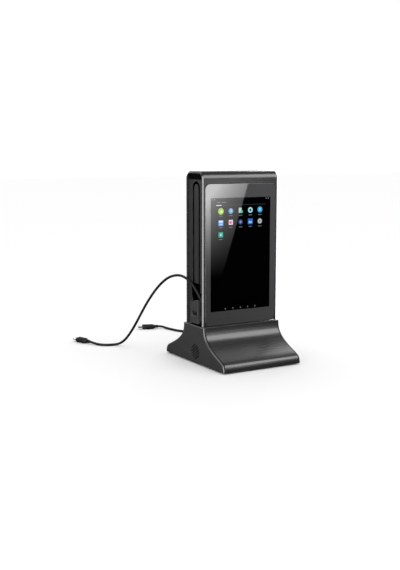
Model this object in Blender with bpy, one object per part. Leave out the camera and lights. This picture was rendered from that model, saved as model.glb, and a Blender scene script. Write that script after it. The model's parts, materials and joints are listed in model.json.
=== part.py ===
"""Phone charging kiosk: a double-sided tabletop display tower on a flared base.

The tower is an inverted-U shell with a glass and display on each face and a
cable-storage cover on each side. Sizes below are in millimetres and MM turns
them into metres. +Z is up, the front faces -Y, and the origin is the middle of
the underside, on the surface that the kiosk stands on. The tower looks the same
after half a turn about Z, so right-hand pieces are left-hand ones turned.
"""

import math

import bmesh
import bpy
from mathutils import Matrix, Vector
from mathutils.geometry import interpolate_bezier

MM = 0.001
GAP = 0.3

# Tower
TOWER_X = 59.5
TOWER_Y = 22.2
TOWER_TOP = 257.0
TOWER_FOOT = 52.6
TOP_RADIUS = 10.0
WALL = 3.0
RIM = 1.7

# Glass and display
GLASS_X = 55.4
GLASS_LOW, GLASS_HIGH = 53.2, 240.8
GLASS_RADIUS = 7.0
GLASS_THICK = 1.1
GLASS_SUNK = 0.1
GLASS_FACE = TOWER_Y - GLASS_SUNK
TAPE_GAP = 0.03
TAPE_EDGE = 0.6
REBATE = 1.5
WINDOW_X = 50.2
WINDOW_LOW, WINDOW_HIGH = 66.0, 228.2
DISPLAY_DEPTH = 3.2
FLEX_HALF, FLEX_THICK = 9.0, 0.4
REAR_FLEX_X = 24.0

# Side cover with its cable channel and parking pocket
COVER_FACE = 56.0
COVER_BACK = 47.0
COVER_Y, COVER_NARROW_Y = 18.9, 17.0
COVER_LOW, COVER_HIGH = 54.4, 246.4
CHANNEL_OUTER, CHANNEL_INNER = 9.3, 5.55
CHANNEL_TOP = 244.0
CHANNEL_FLOOR = 50.6
POCKET_FRONT, POCKET_BACK = -10.0, 12.6
POCKET_LOW, POCKET_HIGH = 84.0, 108.5
POCKET_FLOOR = 49.0
SLOT_FRONT, SLOT_BACK = -14.7, -9.7
SLOT_LOW, SLOT_HIGH = 66.0, 96.0
NOTCH_FRONT, NOTCH_TOP, NOTCH_FLOOR = -13.4, 59.6, 53.5
SKIN_THICK = 1.8
INSERT_FACE, INSERT_BACK = 58.0, 50.0

# Port block
BLOCK_FACE = 59.4
BLOCK_FRONT, BLOCK_BACK = -10.0, 10.2
BLOCK_LOW = 54.7
BLOCK_HIGH_FRONT, BLOCK_HIGH_BACK = 87.5, 83.0
USB_Z = 68.1
USB_HALF_Y, USB_HALF_Z = 6.55, 2.85
INLET_Z = 59.6
BUTTON_Z = 77.6
BUTTON_SPACING = 6.4
BUTTON_RADIUS = 2.2
BUTTON_PROUD = 0.5
BUTTON_REACH = 50.6
BLOCK_BACK_X = 48.5
SOCKET_BACK = 46.0
SHEET = 0.35
INLET_HALF_Y, INLET_HALF_Z = 4.4, 1.6

# Inside the tower
SPINE_X, SPINE_LOW, SPINE_HIGH = 42.0, 13.6, 246.0
SPINE_THICK, SPINE_FOOT = 1.2, 15.0
CELL_LOW, CELL_HIGH = 96.0, 220.0
CELL_HALF, CELL_X = 19.6, 20.4
CELL_FRONT, CELL_BACK = 1.2, 10.2
BOARD_X, BOARD_FACE, BOARD_BACK = 40.0, -4.8, -3.2

# Base
CAP_FACE, CAP_BACK = 61.0, 58.0
CAP_ROUND = 3.5
BASE_TOP = 52.3
BASE_DEEP = 77.4
BASE_FOOT = 1.6
BASE_WALL = 2.4
COVER_END = 57.6
FLANGE_Y = 17.0
PLATE_X, PLATE_Y, PLATE_TOP = 57.4, 72.0, 3.6
BALLAST_X, BALLAST_Y, BALLAST_TOP = 44.0, 46.0, 13.3
FOOT_X, FOOT_Y, FOOT_RADIUS = 47.0, 62.0, 5.0
SCREW_X, SCREW_Y, SCREW_RADIUS = 52.0, 40.0, 2.6
GRILLE_Y, GRILLE_Z = -5.0, 16.6
GRILLE_HALF_Y, GRILLE_HALF_Z = 12.6, 10.0
SLIT_SPACING = 3.4
SLIT_WIDTH = 1.6
SLIT_ANGLE = math.radians(145)

# Charging leads
CABLE_RADIUS = 1.75
CABLE_Y = -12.5
CABLE_X = -54.0
GLAND_TOP, GLAND_RADIUS = 76.0, 1.8
PLUG_LENGTH = 26.0
TIP_LENGTH = 6.7
TIP_HALF_Y, TIP_HALF_Z = 3.7, 0.95
LEFT_ROUTE = (
    (-54.0, -12.5, 76.3), (-54.2, -12.5, 80.5), (-55.6, -12.2, 86.5), (-57.6, -10.4, 92.3),
    (-59.6, -4.8, 100.4), (-61.6, 3.4, 108.5), (-64.0, 14.3, 114.5), (-67.2, 28.6, 116.8),
    (-71.2, 45.8, 112.8), (-74.7, 60.8, 103.9), (-78.1, 75.5, 91.2), (-81.7, 91.9, 73.3),
    (-84.8, 105.6, 55.5), (-87.9, 118.8, 37.2), (-91.2, 131.0, 21.6), (-94.6, 142.0, 10.0),
    (-99.2, 150.8, 3.6), (-106.4, 155.4, 1.9), (-114.6, 157.4, 1.9), (-121.6, 163.0, 1.9),
    (-126.9, 171.4, 2.3), (-130.7, 180.4, 3.4), (-132.0, 184.6, 3.7),
)
RIGHT_ROUTE = (
    (54.0, 12.5, 76.3), (54.2, 12.4, 80.5), (55.5, 12.1, 86.0), (58.0, 12.9, 91.4),
    (60.8, 17.2, 97.2), (62.5, 25.2, 101.0), (63.0, 35.2, 100.4), (62.4, 46.0, 95.0),
    (60.8, 57.4, 84.8), (58.4, 69.4, 70.4), (55.8, 81.4, 53.8), (53.0, 93.4, 37.0),
    (50.0, 105.8, 21.6), (47.0, 118.6, 9.6), (44.4, 131.6, 3.2), (42.4, 145.0, 1.9),
    (39.8, 160.0, 1.9), (36.0, 175.0, 1.9), (30.6, 189.6, 1.9), (26.2, 200.0, 1.9),
    (23.4, 210.6, 1.9), (21.6, 221.0, 1.9), (19.9, 229.8, 2.3), (16.8, 235.9, 3.2),
    (12.0, 238.6, 3.7),
)
LEFT_PLUG_HEADING = (-0.303, 0.953)
RIGHT_PLUG_HEADING = (-0.949, 0.316)


def clear_scene():
    for obj in list(bpy.data.objects):
        bpy.data.objects.remove(obj, do_unlink=True)


def finish(name, colour, roughness, metallic=0.0):
    material = bpy.data.materials.new(name)
    material.use_nodes = True
    shader = material.node_tree.nodes["Principled BSDF"]
    shader.inputs["Base Color"].default_value = (*colour, 1.0)
    shader.inputs["Roughness"].default_value = roughness
    shader.inputs["Metallic"].default_value = metallic
    return material


# ---------------------------------------------------------------- mesh helpers


def place(name, mesh, material):
    """Link a new object that holds this mesh and one material."""
    obj = bpy.data.objects.new(name, mesh)
    bpy.context.scene.collection.objects.link(obj)
    if not mesh.materials:
        mesh.materials.append(material)
    return obj


def from_bmesh(name, bm, material):
    """Turn a bmesh in millimetres into an object in metres, faces out."""
    bmesh.ops.recalc_face_normals(bm, faces=bm.faces)
    bmesh.ops.scale(bm, vec=(MM, MM, MM), verts=bm.verts)
    mesh = bpy.data.meshes.new(name)
    bm.to_mesh(mesh)
    bm.free()
    mesh.set_sharp_from_angle(angle=math.radians(35))
    mesh.shade_smooth()
    return place(name, mesh, material)


def skin(bm, rings):
    """Join rings of equal length with side faces and close both ends."""
    loops = [[bm.verts.new(point) for point in ring] for ring in rings]
    count = len(loops[0])
    for low, high in zip(loops, loops[1:]):
        for i in range(count):
            j = (i + 1) % count
            bm.faces.new((low[i], low[j], high[j], high[i]))
    bm.faces.new(loops[0])
    bm.faces.new(list(reversed(loops[-1])))


def along(axis, distance, outline):
    """Points of a flat outline, set across an axis at a distance."""
    if axis == "X":
        return [(distance, u, v) for u, v in outline]
    if axis == "Y":
        return [(u, distance, v) for u, v in outline]
    return [(u, v, distance) for u, v in outline]


def prism(name, axis, outline, low, high, material):
    bm = bmesh.new()
    skin(bm, [along(axis, low, outline), along(axis, high, outline)])
    return from_bmesh(name, bm, material)


def box(name, low, high, material):
    outline = [(low[0], low[1]), (high[0], low[1]), (high[0], high[1]), (low[0], high[1])]
    return prism(name, "Z", outline, low[2], high[2], material)


def eased_box(name, low, high, ease, material):
    """A box with chamfered edges."""
    obj = box(name, low, high, material)
    bm = bmesh.new()
    bm.from_mesh(obj.data)
    bmesh.ops.bevel(bm, geom=bm.edges, offset=ease * MM, segments=1, affect="EDGES")
    bm.to_mesh(obj.data)
    bm.free()
    return obj


def rounded(centre, half, radius, steps=4):
    """Outline of a rectangle with round corners."""
    points = []
    for turn, (su, sv) in enumerate(((1, 1), (-1, 1), (-1, -1), (1, -1))):
        cu = centre[0] + su * (half[0] - radius)
        cv = centre[1] + sv * (half[1] - radius)
        for step in range(steps + 1):
            angle = math.pi / 2 * (turn + step / steps)
            points.append((cu + radius * math.cos(angle), cv + radius * math.sin(angle)))
    return points


def round_outline(centre, radius, sides):
    turns = [2 * math.pi * (i + 0.5) / sides for i in range(sides)]
    return [(centre[0] + radius * math.cos(t), centre[1] + radius * math.sin(t)) for t in turns]


def cylinder(name, axis, centre, radius, low, high, material, sides=16):
    return prism(name, axis, round_outline(centre, radius, sides), low, high, material)


def inset(points, distance):
    """An open outline moved to its inner side, at right angles to itself."""
    moved = []
    for i, point in enumerate(points):
        before = Vector(points[max(i - 1, 0)])
        after = Vector(points[min(i + 1, len(points) - 1)])
        heading = (after - before).normalized()
        moved.append((point[0] + heading.y * distance, point[1] - heading.x * distance))
    return moved


def evaluated_mesh(obj):
    graph = bpy.context.evaluated_depsgraph_get()
    return bpy.data.meshes.new_from_object(obj.evaluated_get(graph))


def combine(obj, operation, others):
    """Apply one exact Boolean after another and drop the other shapes."""
    for other in others:
        modifier = obj.modifiers.new("combine", "BOOLEAN")
        modifier.operation = operation
        modifier.solver = "EXACT"
        modifier.object = other
    mesh = evaluated_mesh(obj)
    obj.modifiers.clear()
    obj.data = mesh
    for other in others:
        bpy.data.objects.remove(other, do_unlink=True)
    return obj


def cut(obj, *cutters):
    return combine(obj, "DIFFERENCE", cutters)


def unite(obj, *pieces):
    return combine(obj, "UNION", pieces)


def half_turned(obj, name):
    """The same piece on the opposite side, after half a turn about Z."""
    twin = place(name, obj.data, obj.data.materials[0])
    twin.rotation_euler = (0.0, 0.0, math.pi)
    return twin


# ---------------------------------------------------------------- tower


def arch_outline(half_y, top, radius, foot, steps=6):
    """One side of an inverted U, from the front foot over the top to the back foot."""
    points = [(-half_y, foot)]
    for side, start in ((-1, math.pi), (1, math.pi / 2)):
        for step in range(steps + 1):
            angle = start - math.pi / 2 * step / steps
            centre = side * (half_y - radius)
            points.append((centre + radius * math.cos(angle), top - radius + radius * math.sin(angle)))
    points.append((half_y, foot))
    return points


def window_cutter(side, half_x, low, high, radius, near, far):
    outline = rounded((0, (low + high) / 2), (half_x, (high - low) / 2), radius)
    first, last = sorted((side * near, side * far))
    return prism("cutter", "Y", outline, first, last, None)


def make_tower_shell(plastic):
    """The wrap over front, top and back, with a rebate and window for each display."""
    inner = arch_outline(TOWER_Y - WALL, TOWER_TOP - WALL, TOP_RADIUS - WALL, TOWER_FOOT)
    full = arch_outline(TOWER_Y, TOWER_TOP, TOP_RADIUS, TOWER_FOOT) + inner[::-1]
    eased = arch_outline(TOWER_Y - RIM, TOWER_TOP - RIM, TOP_RADIUS - RIM, TOWER_FOOT) + inner[::-1]
    stations = ((-TOWER_X, eased), (RIM - TOWER_X, full), (TOWER_X - RIM, full), (TOWER_X, eased))
    bm = bmesh.new()
    skin(bm, [along("X", x, outline) for x, outline in stations])
    shell = from_bmesh("tower_shell", bm, plastic)
    cutters = []
    for side in (-1, 1):
        cutters.append(window_cutter(side, GLASS_X + GAP, 40.0, GLASS_HIGH + GAP,
                                     GLASS_RADIUS + GAP, TOWER_Y - REBATE, TOWER_Y + 2))
        cutters.append(window_cutter(side, WINDOW_X, WINDOW_LOW, WINDOW_HIGH, 1.5,
                                     TOWER_Y - WALL - 1, TOWER_Y))
    return cut(shell, *cutters)


def make_glass(glass):
    """Cover glass, bonded flush in the rebate of each face."""
    outline = rounded((0, (GLASS_LOW + GLASS_HIGH) / 2),
                      (GLASS_X, (GLASS_HIGH - GLASS_LOW) / 2), GLASS_RADIUS)
    front = prism("glass_front", "Y", outline, -GLASS_FACE, GLASS_THICK - GLASS_FACE, glass)
    half_turned(front, "glass_rear")


def make_bond_tape(tape):
    """Thin adhesive frame between the glass and the rebate's floor."""
    middle = (0, (GLASS_LOW + GLASS_HIGH) / 2)
    half = (GLASS_X - TAPE_EDGE, (GLASS_HIGH - GLASS_LOW) / 2 - TAPE_EDGE)
    outer = GLASS_THICK + TAPE_GAP - GLASS_FACE
    inner = REBATE - TAPE_GAP - TOWER_Y
    frame = prism("bond_tape_front", "Y", rounded(middle, half, GLASS_RADIUS - TAPE_EDGE), outer, inner, tape)
    hole = prism("cutter", "Y", rounded((0, (WINDOW_LOW + WINDOW_HIGH) / 2),
                 (WINDOW_X + 0.4, (WINDOW_HIGH - WINDOW_LOW) / 2 + 0.4), 1.5), outer - 1, inner + 1, None)
    half_turned(cut(frame, hole), "bond_tape_rear")


def make_displays(black, flex):
    """LCD module behind each glass and the flexible lead that comes off its back."""
    back = GLASS_FACE - GLASS_THICK - GAP - DISPLAY_DEPTH
    front = eased_box("display_front", (0.6 - WINDOW_X, -back - DISPLAY_DEPTH, WINDOW_LOW + 0.6),
                      (WINDOW_X - 0.6, -back, WINDOW_HIGH - 0.6), 0.4, black)
    half_turned(front, "display_rear")
    front_path = ((GAP - back, 205.0), (GAP - back, 174.0), (3.4 - back, 170.4), (-8.2, 170.4))
    rear_path = ((back - GAP, 200.0), (back - GAP, 224.5), (back - 2.9, 227.6), (-1.6, 227.6),
                 (-4.0, 225.2), (-4.0, 184.0 + GAP))
    strips = (("display_flex_front", front_path, 0.0), ("display_flex_rear", rear_path, REAR_FLEX_X))
    for name, path, middle in strips:
        strip = list(path) + inset(path, -FLEX_THICK)[::-1]
        prism(name, "X", strip, middle - FLEX_HALF, middle + FLEX_HALF, flex)


def channel_cutters():
    """Cable channel: an inverted U that runs down into the pocket."""
    def arch(half_y):
        points = [(half_y, POCKET_LOW + 6)]
        for step in range(9):
            angle = math.pi * step / 8
            points.append((half_y * math.cos(angle), CHANNEL_TOP - CHANNEL_OUTER + half_y * math.sin(angle)))
        points.append((-half_y, POCKET_LOW + 6))
        return points
    outline = arch(CHANNEL_OUTER) + arch(CHANNEL_INNER)[::-1]
    return [prism("cutter", "X", outline, -COVER_FACE - 2, -CHANNEL_FLOOR, None)]


def make_side_covers(plastic):
    """Side cover moulding: channel, parking pocket, lead slot and hollowed back."""
    cover = box("side_cover_left", (-COVER_FACE, -COVER_Y, COVER_LOW),
                (-COVER_BACK, COVER_Y, COVER_HIGH), plastic)
    outside = -COVER_FACE - 2
    pocket = [(POCKET_FRONT, POCKET_LOW), (8.4, POCKET_LOW), (POCKET_BACK, 96.0),
              (POCKET_BACK, 103.5), (10.2, POCKET_HIGH), (POCKET_FRONT, POCKET_HIGH)]
    block = [(BLOCK_FRONT - GAP, COVER_LOW - 2), (BLOCK_BACK + GAP, COVER_LOW - 2),
             (BLOCK_BACK + GAP, BLOCK_HIGH_BACK + 1), (BLOCK_FRONT - GAP, BLOCK_HIGH_FRONT + 1)]
    cutters = channel_cutters()
    cutters.append(prism("cutter", "X", pocket, outside, -POCKET_FLOOR, None))
    cutters.append(prism("cutter", "X", block, outside, 2 - COVER_BACK, None))
    cutters.append(box("cutter", (outside, SLOT_FRONT, SLOT_LOW),
                       (-CHANNEL_FLOOR, SLOT_BACK, SLOT_HIGH), None))
    cutters.append(box("cutter", (outside, NOTCH_FRONT, COVER_LOW - 2),
                       (-NOTCH_FLOOR, -BLOCK_BACK - 0.5, NOTCH_TOP), None))
    for low_y, high_y, high_z in ((-17.4, -10.9, 244.0), (-4.0, 4.0, 236.0), (14.2, 17.4, 244.0)):
        cutters.append(box("cutter", (SKIN_THICK - COVER_FACE, low_y, 112.0),
                           (2 - COVER_BACK, high_y, high_z), None))
    for side in (-1, 1):
        near, far = sorted((side * COVER_NARROW_Y, side * (COVER_Y + 1)))
        cutters.append(box("cutter", (-WINDOW_X - 0.8, near, 0), (2 - COVER_BACK, far, COVER_HIGH + 5), None))
    half_turned(cut(cover, *cutters), "side_cover_right")


def block_blank(name, plastic):
    """Port block without its holes, with a top that slopes down to the back."""
    outline = [(BLOCK_FRONT, BLOCK_LOW), (BLOCK_BACK, BLOCK_LOW),
               (BLOCK_BACK, BLOCK_HIGH_BACK), (BLOCK_FRONT, BLOCK_HIGH_FRONT)]
    return prism(name, "X", outline, -BLOCK_FACE, -BLOCK_BACK_X, plastic)


def usb_cutter():
    half = (USB_HALF_Y + GAP, USB_HALF_Z + GAP)
    return prism("cutter", "X", rounded((0, USB_Z), half, 0.4, 1), -BLOCK_FACE - 2, 2 - COVER_BACK, None)


def button_places():
    """Height and depth centre of each key, seen on the left-hand twin."""
    return ((-BUTTON_SPACING, BUTTON_Z), (0.0, BUTTON_Z), (BUTTON_SPACING, BUTTON_Z))


def make_port_blocks(plastic):
    """Left block with a USB port, right block with a port, three keys and the inlet."""
    cut(block_blank("port_block_left", plastic), usb_cutter())
    right = block_blank("port_block_right", plastic)
    holes = [cylinder("cutter", "X", place_yz, BUTTON_RADIUS + GAP, -BLOCK_FACE - 2, 2 - COVER_BACK, None)
             for place_yz in button_places()]
    half = (INLET_HALF_Y + GAP, INLET_HALF_Z + GAP)
    inlet = prism("cutter", "X", rounded((0, INLET_Z), half, 1.8, 3), -BLOCK_FACE - 2, 2 - COVER_BACK, None)
    cut(right, usb_cutter(), inlet, *holes)
    right.rotation_euler = (0.0, 0.0, math.pi)


def make_keys(rubber, green):
    """Three keys on the right block, each with its origin on its line of travel."""
    names = ("volume_down_button", "volume_up_button", "power_button")
    for name, (y, z) in zip(names, button_places()):
        bm = bmesh.new()
        stations = ((-BLOCK_FACE - BUTTON_PROUD, BUTTON_RADIUS - 0.5),
                    (-BLOCK_FACE - BUTTON_PROUD + 0.4, BUTTON_RADIUS),
                    (-BUTTON_REACH, BUTTON_RADIUS))
        skin(bm, [along("X", x + BLOCK_FACE, round_outline((0, 0), radius, 16)) for x, radius in stations])
        key = from_bmesh(name, bm, rubber)
        key.location = (BLOCK_FACE * MM, -y * MM, z * MM)
        key.rotation_euler = (0.0, 0.0, math.pi)
    switches = [box("switch", (46.7, -y - 1.5, z - 1.5), (49.3, -y + 1.5, z + 1.5), green)
                for y, z in button_places()]
    unite(box("key_board", (45.6, -9.6, 73.0), (46.8, 9.6, 81.6), green), *switches)


def make_usb_sockets(steel, contact):
    """USB-A shells with their contact tongues."""
    face, back = 0.5 - BLOCK_FACE, -SOCKET_BACK
    outer = rounded((0, USB_Z), (USB_HALF_Y, USB_HALF_Z), 0.3, 1)
    shell = prism("usb_socket_left", "X", outer, face, back, steel)
    hollow = box("cutter", (face - 2, SHEET - USB_HALF_Y, USB_Z - USB_HALF_Z + SHEET),
                 (back - 1.2, USB_HALF_Y - SHEET, USB_Z + USB_HALF_Z - SHEET), None)
    half_turned(cut(shell, hollow), "usb_socket_right")
    tongue = box("usb_tongue_left", (face + 1.2, -5.6, USB_Z + 0.4),
                 (back - 1.2 - GAP, 5.6, USB_Z + 2.2), contact)
    half_turned(tongue, "usb_tongue_right")


def make_inlet(steel):
    """Oval charging inlet of the kiosk itself, below the right-hand port."""
    outer = rounded((0, INLET_Z), (INLET_HALF_Y, INLET_HALF_Z), 1.55, 3)
    shell = prism("charge_inlet", "X", outer, 50.0, BLOCK_FACE - 0.4, steel)
    inner = rounded((0, INLET_Z), (INLET_HALF_Y - GAP, INLET_HALF_Z - GAP), 1.25, 3)
    cut(shell, prism("cutter", "X", inner, 51.5, BLOCK_FACE + 2, None))


def make_top_inserts(gloss):
    """Gloss-black insert that closes each end of the arch above the side cover."""
    radius = TOP_RADIUS - WALL - GAP
    centre_y = TOWER_Y - TOP_RADIUS
    centre_z = TOWER_TOP - TOP_RADIUS
    start = math.asin((COVER_HIGH + GAP - centre_z) / radius)
    turns = [start + (math.pi / 2 - start) * step / 4 for step in range(5)]
    rear = [(centre_y + radius * math.cos(t), centre_z + radius * math.sin(t)) for t in turns]
    outline = rear + [(-y, z) for y, z in reversed(rear)]
    insert = prism("top_insert_left", "X", outline, -INSERT_FACE, -INSERT_BACK, gloss)
    half_turned(insert, "top_insert_right")


# ---------------------------------------------------------------- inside the tower


def make_chassis(steel):
    """Sheet-steel spine with a foot that screws down on the ballast."""
    half, bend = SPINE_THICK / 2, SPINE_LOW + SPINE_THICK
    outline = [(-half, SPINE_LOW), (-half, SPINE_HIGH), (half, SPINE_HIGH), (half, bend),
               (SPINE_FOOT, bend), (SPINE_FOOT, SPINE_LOW)]
    spine = prism("chassis_plate", "X", outline, -SPINE_X, SPINE_X, steel)
    holes = [cylinder("cutter", "Y", (x, z), 2.5, -3, 3, None, 12) for x in (-30, 30) for z in (100, 215)]
    slot_half = FLEX_HALF + 1
    holes.append(box("cutter", (REAR_FLEX_X - slot_half, -3, 225.5),
                     (REAR_FLEX_X + slot_half, 3, 229.5), None))
    cut(spine, *holes)


def make_battery(wrap, black):
    """Two pouch cells behind the spine, held by a shallow frame."""
    for name, x in (("battery_cell_left", -CELL_X), ("battery_cell_right", CELL_X)):
        eased_box(name, (x - CELL_HALF, CELL_FRONT, CELL_LOW),
                  (x + CELL_HALF, CELL_BACK, CELL_HIGH), 1.2, wrap)
    inside = CELL_X + CELL_HALF + 0.5
    frame = box("battery_frame", (-SPINE_X, 1.0, CELL_LOW - 2), (SPINE_X, 7.0, CELL_HIGH + 2), black)
    cut(frame, box("cutter", (-inside, -1, CELL_LOW - 0.5), (inside, 9, CELL_HIGH + 0.5), None))


def make_main_board(green, brass):
    """Android board and power board in front of the spine, on brass spacers."""
    def board(name, low, high):
        return box(name, (-BOARD_X, BOARD_FACE, low), (BOARD_X, BOARD_BACK, high), green)

    def part(x, z, width, height, depth):
        low = (x - width / 2, BOARD_FACE - depth, z - height / 2)
        return box("part", low, (x + width / 2, BOARD_FACE + 0.2, z + height / 2), green)

    main = ((-12, 138, 16, 16, 1.4), (8, 138, 12, 10, 1.2), (26, 130, 14, 14, 2.6),
            (8, 156, 12, 10, 1.2), (-24, 158, 10, 8, 1.4), (-30, 124, 7, 7, 3.0), (30, 172, 10, 4, 1.8))
    unite(board("main_board", 112.0, 184.0), *[part(*values) for values in main])
    power = ((-28, 76, 9, 9, 4.2), (-15, 76, 9, 9, 4.2), (0, 70, 6, 6, 1.2), (15, 76, 9, 9, 4.2),
             (28, 80, 6, 10, 2.0))
    unite(board("charge_board", 60.0, 92.0), *[part(*values) for values in power])
    for number, (x, z) in enumerate(((-36, 88.0), (36, 88.0), (-36, 180.0), (36, 180.0)), 1):
        cylinder(f"board_spacer_{number}", "Y", (x, z), 2.4, -2.9, -0.9, brass, 10)
    box("wifi_antenna", (-34.0, -8.0, 236.0), (-4.0, -7.2, 246.0), green)


# ---------------------------------------------------------------- base


def flare(steps=7):
    """Half outline of the base from its top edge down to its foot, as (depth, height)."""
    curves = (((26.8, BASE_TOP), (27.2, 42.6), (28.6, 36.0), (44.0, 26.8)),
              ((44.0, 26.8), (51.3, 22.4), (58.8, 19.3), (64.8, 16.7)),
              ((64.8, 16.7), (74.6, 12.5), (BASE_DEEP, 10.6), (BASE_DEEP, BASE_FOOT)))
    points = []
    for knots in curves:
        run = interpolate_bezier(*(Vector((y, z)) for y, z in knots), steps)
        points += [(point.x, point.y) for point in run[(1 if points else 0):]]
    return points


def make_base_covers(plastic):
    """Swept front and back covers, each with a flange that carries the tower."""
    outer = flare()
    inner = inset(outer, BASE_WALL)[1:]
    inner[-1] = (inner[-1][0], BASE_FOOT)
    under = BASE_TOP - BASE_WALL
    flange = [(27.2 - BASE_WALL, under), (FLANGE_Y, under), (FLANGE_Y, BASE_TOP)]
    inner[0] = (inner[0][0], min(inner[0][1], BASE_TOP - BASE_WALL - 1.5))
    outline = outer + inner[::-1] + flange
    front = [(-y, z) for y, z in outline]
    cover = prism("base_cover_front", "X", front, -COVER_END, COVER_END, plastic)
    half_turned(cover, "base_cover_rear")


def cap_outline(distance):
    """Whole side outline of the base, drawn in by a distance."""
    half = flare(6)
    if distance:
        half = inset(half, distance)
        half[0] = (half[0][0], BASE_TOP - distance * 0.3)
        half[-1] = (half[-1][0], BASE_FOOT)
    return [(-y, z) for y, z in half] + [(y, z) for y, z in reversed(half)]


def grille_slits():
    """Six slanting slits that fill an oval."""
    heading = Vector((math.cos(SLIT_ANGLE), math.sin(SLIT_ANGLE)))
    across = Vector((-heading.y, heading.x))
    slits = []
    for i in range(6):
        offset = (i - 2.5) * SLIT_SPACING
        reach = math.sqrt(1 - (offset / (GRILLE_HALF_Z + 0.6)) ** 2) * (GRILLE_HALF_Y - 1.8)
        middle = Vector((GRILLE_Y, GRILLE_Z)) + across * offset
        corners = [middle + heading * a * reach + across * b * SLIT_WIDTH / 2
                   for a, b in ((-1, -1), (1, -1), (1, 1), (-1, 1))]
        outline = [(corner.x, corner.y) for corner in corners]
        slits.append(prism("cutter", "X", outline, -CAP_FACE - 2, 2 - CAP_BACK, None))
    return slits


def make_base_caps(plastic):
    """Side caps with a rounded rim; the slanting slits sit over the speakers."""
    def build(name):
        rise = CAP_FACE - CAP_BACK
        bm = bmesh.new()
        rings = []
        for share in (0.0, 0.35, 0.7, 1.0):
            angle = share * math.pi / 2
            x = -CAP_BACK - rise * math.sin(angle) if share else -CAP_BACK
            rings.append(along("X", x, cap_outline(CAP_ROUND * (1 - math.cos(angle)))))
        skin(bm, rings)
        return from_bmesh(name, bm, plastic)
    left = cut(build("base_cap_left"), *grille_slits())
    half_turned(left, "base_cap_right")


def make_speakers(black):
    """Round speaker behind each grille: basket, cone and magnet in one turned solid."""
    stations = ((-57.4, 10.8), (-56.4, 10.8), (-56.4, 9.6), (-51.4, 6.4), (-51.4, 5.2), (-49.0, 5.2))
    bm = bmesh.new()
    skin(bm, [along("X", x, round_outline((GRILLE_Y, GRILLE_Z), radius, 16)) for x, radius in stations])
    half_turned(from_bmesh("speaker_left", bm, black), "speaker_right")


def make_base_floor(black, steel, rubber):
    """Floor plate, ballast, rubber feet and the screws that hold the floor."""
    box("base_plate", (-PLATE_X, -PLATE_Y, BASE_FOOT), (PLATE_X, PLATE_Y, PLATE_TOP), black)
    ballast = eased_box("ballast_weight", (-BALLAST_X, -BALLAST_Y, PLATE_TOP + GAP),
                        (BALLAST_X, BALLAST_Y, BALLAST_TOP), 1.0, steel)
    cut(ballast, cylinder("cutter", "Z", (0.0, 32.0), 4.0, 0, 20, None, 12))
    corners = [(x, y) for x in (-1, 1) for y in (-1, 1)]
    for number, (x, y) in enumerate(corners, 1):
        cylinder(f"rubber_foot_{number}", "Z", (x * FOOT_X, y * FOOT_Y), FOOT_RADIUS, 0.0,
                 BASE_FOOT - GAP, rubber, 20)
        cylinder(f"base_screw_{number}", "Z", (x * SCREW_X, y * SCREW_Y), SCREW_RADIUS, 0.4,
                 BASE_FOOT - GAP, steel, 10)


# ---------------------------------------------------------------- charging leads


def smooth_route(points, spacing):
    """Evenly spaced points on a smooth curve through the route's own points."""
    knots = [Vector(point) for point in points]
    fine = []
    for i in range(len(knots) - 1):
        before = knots[max(i - 1, 0)]
        start, end = knots[i], knots[i + 1]
        after = knots[min(i + 2, len(knots) - 1)]
        handles = (start, start + (end - before) / 6, end - (after - start) / 6, end)
        fine += interpolate_bezier(*handles, 12)[(1 if fine else 0):]
    lengths = [0.0]
    for a, b in zip(fine, fine[1:]):
        lengths.append(lengths[-1] + (b - a).length)
    count = max(2, round(lengths[-1] / spacing))
    placed, i = [], 0
    for step in range(count + 1):
        target = lengths[-1] * step / count
        while i < len(lengths) - 2 and lengths[i + 1] < target:
            i += 1
        share = (target - lengths[i]) / (lengths[i + 1] - lengths[i])
        placed.append(fine[i].lerp(fine[i + 1], min(max(share, 0.0), 1.0)))
    return placed


def make_cable(name, route, material):
    """Free charging lead: one open curve with a round section and closed ends."""
    curve = bpy.data.curves.new(name, "CURVE")
    curve.dimensions = "3D"
    curve.bevel_depth = CABLE_RADIUS * MM
    curve.bevel_resolution = 2
    curve.use_fill_caps = True
    points = smooth_route(route, 3.2 * CABLE_RADIUS)
    spline = curve.splines.new("POLY")
    spline.points.add(len(points) - 1)
    for node, point in zip(spline.points, points):
        node.co = (*(point * MM), 1.0)
    curve.materials.append(material)
    obj = bpy.data.objects.new(name, curve)
    bpy.context.scene.collection.objects.link(obj)
    return obj


def make_gland(material):
    """Tapered strain relief in the slot of each side cover."""
    bm = bmesh.new()
    stations = ((SLOT_LOW + GAP, GLAND_RADIUS - 0.1), (SLOT_LOW + 0.8, GLAND_RADIUS), (GLAND_TOP, GLAND_RADIUS))
    skin(bm, [along("Z", z, round_outline((CABLE_X, CABLE_Y), radius, 12)) for z, radius in stations])
    half_turned(from_bmesh("cable_gland_left", bm, material), "cable_gland_right")


def make_plug(side, route, heading, black, steel):
    """Moulded plug body that tapers back to the lead, and its flat metal tip."""
    back = Vector(route[-1])
    frame = Matrix.Translation(back * MM) @ Matrix.Rotation(math.atan2(heading[1], heading[0]), 4, "Z")
    sections = ((GAP, 2.0, 2.0), (6.0, 2.2, 2.2), (8.5, 4.9, 3.3), (PLUG_LENGTH - 2.0, 5.3, 3.5),
                (PLUG_LENGTH, 4.7, 3.0))
    bm = bmesh.new()
    skin(bm, [along("X", x, rounded((0, 0), (half_y, half_z), min(half_y, half_z) * 0.7, 2))
              for x, half_y, half_z in sections])
    body = from_bmesh(f"plug_body_{side}", bm, black)
    body.matrix_world = frame
    start = PLUG_LENGTH + GAP
    outline = rounded((0, 0), (TIP_HALF_Y, TIP_HALF_Z), 0.9, 3)
    tip = prism(f"plug_tip_{side}", "X", outline, start, start + TIP_LENGTH, steel)
    tip.matrix_world = frame


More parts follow.
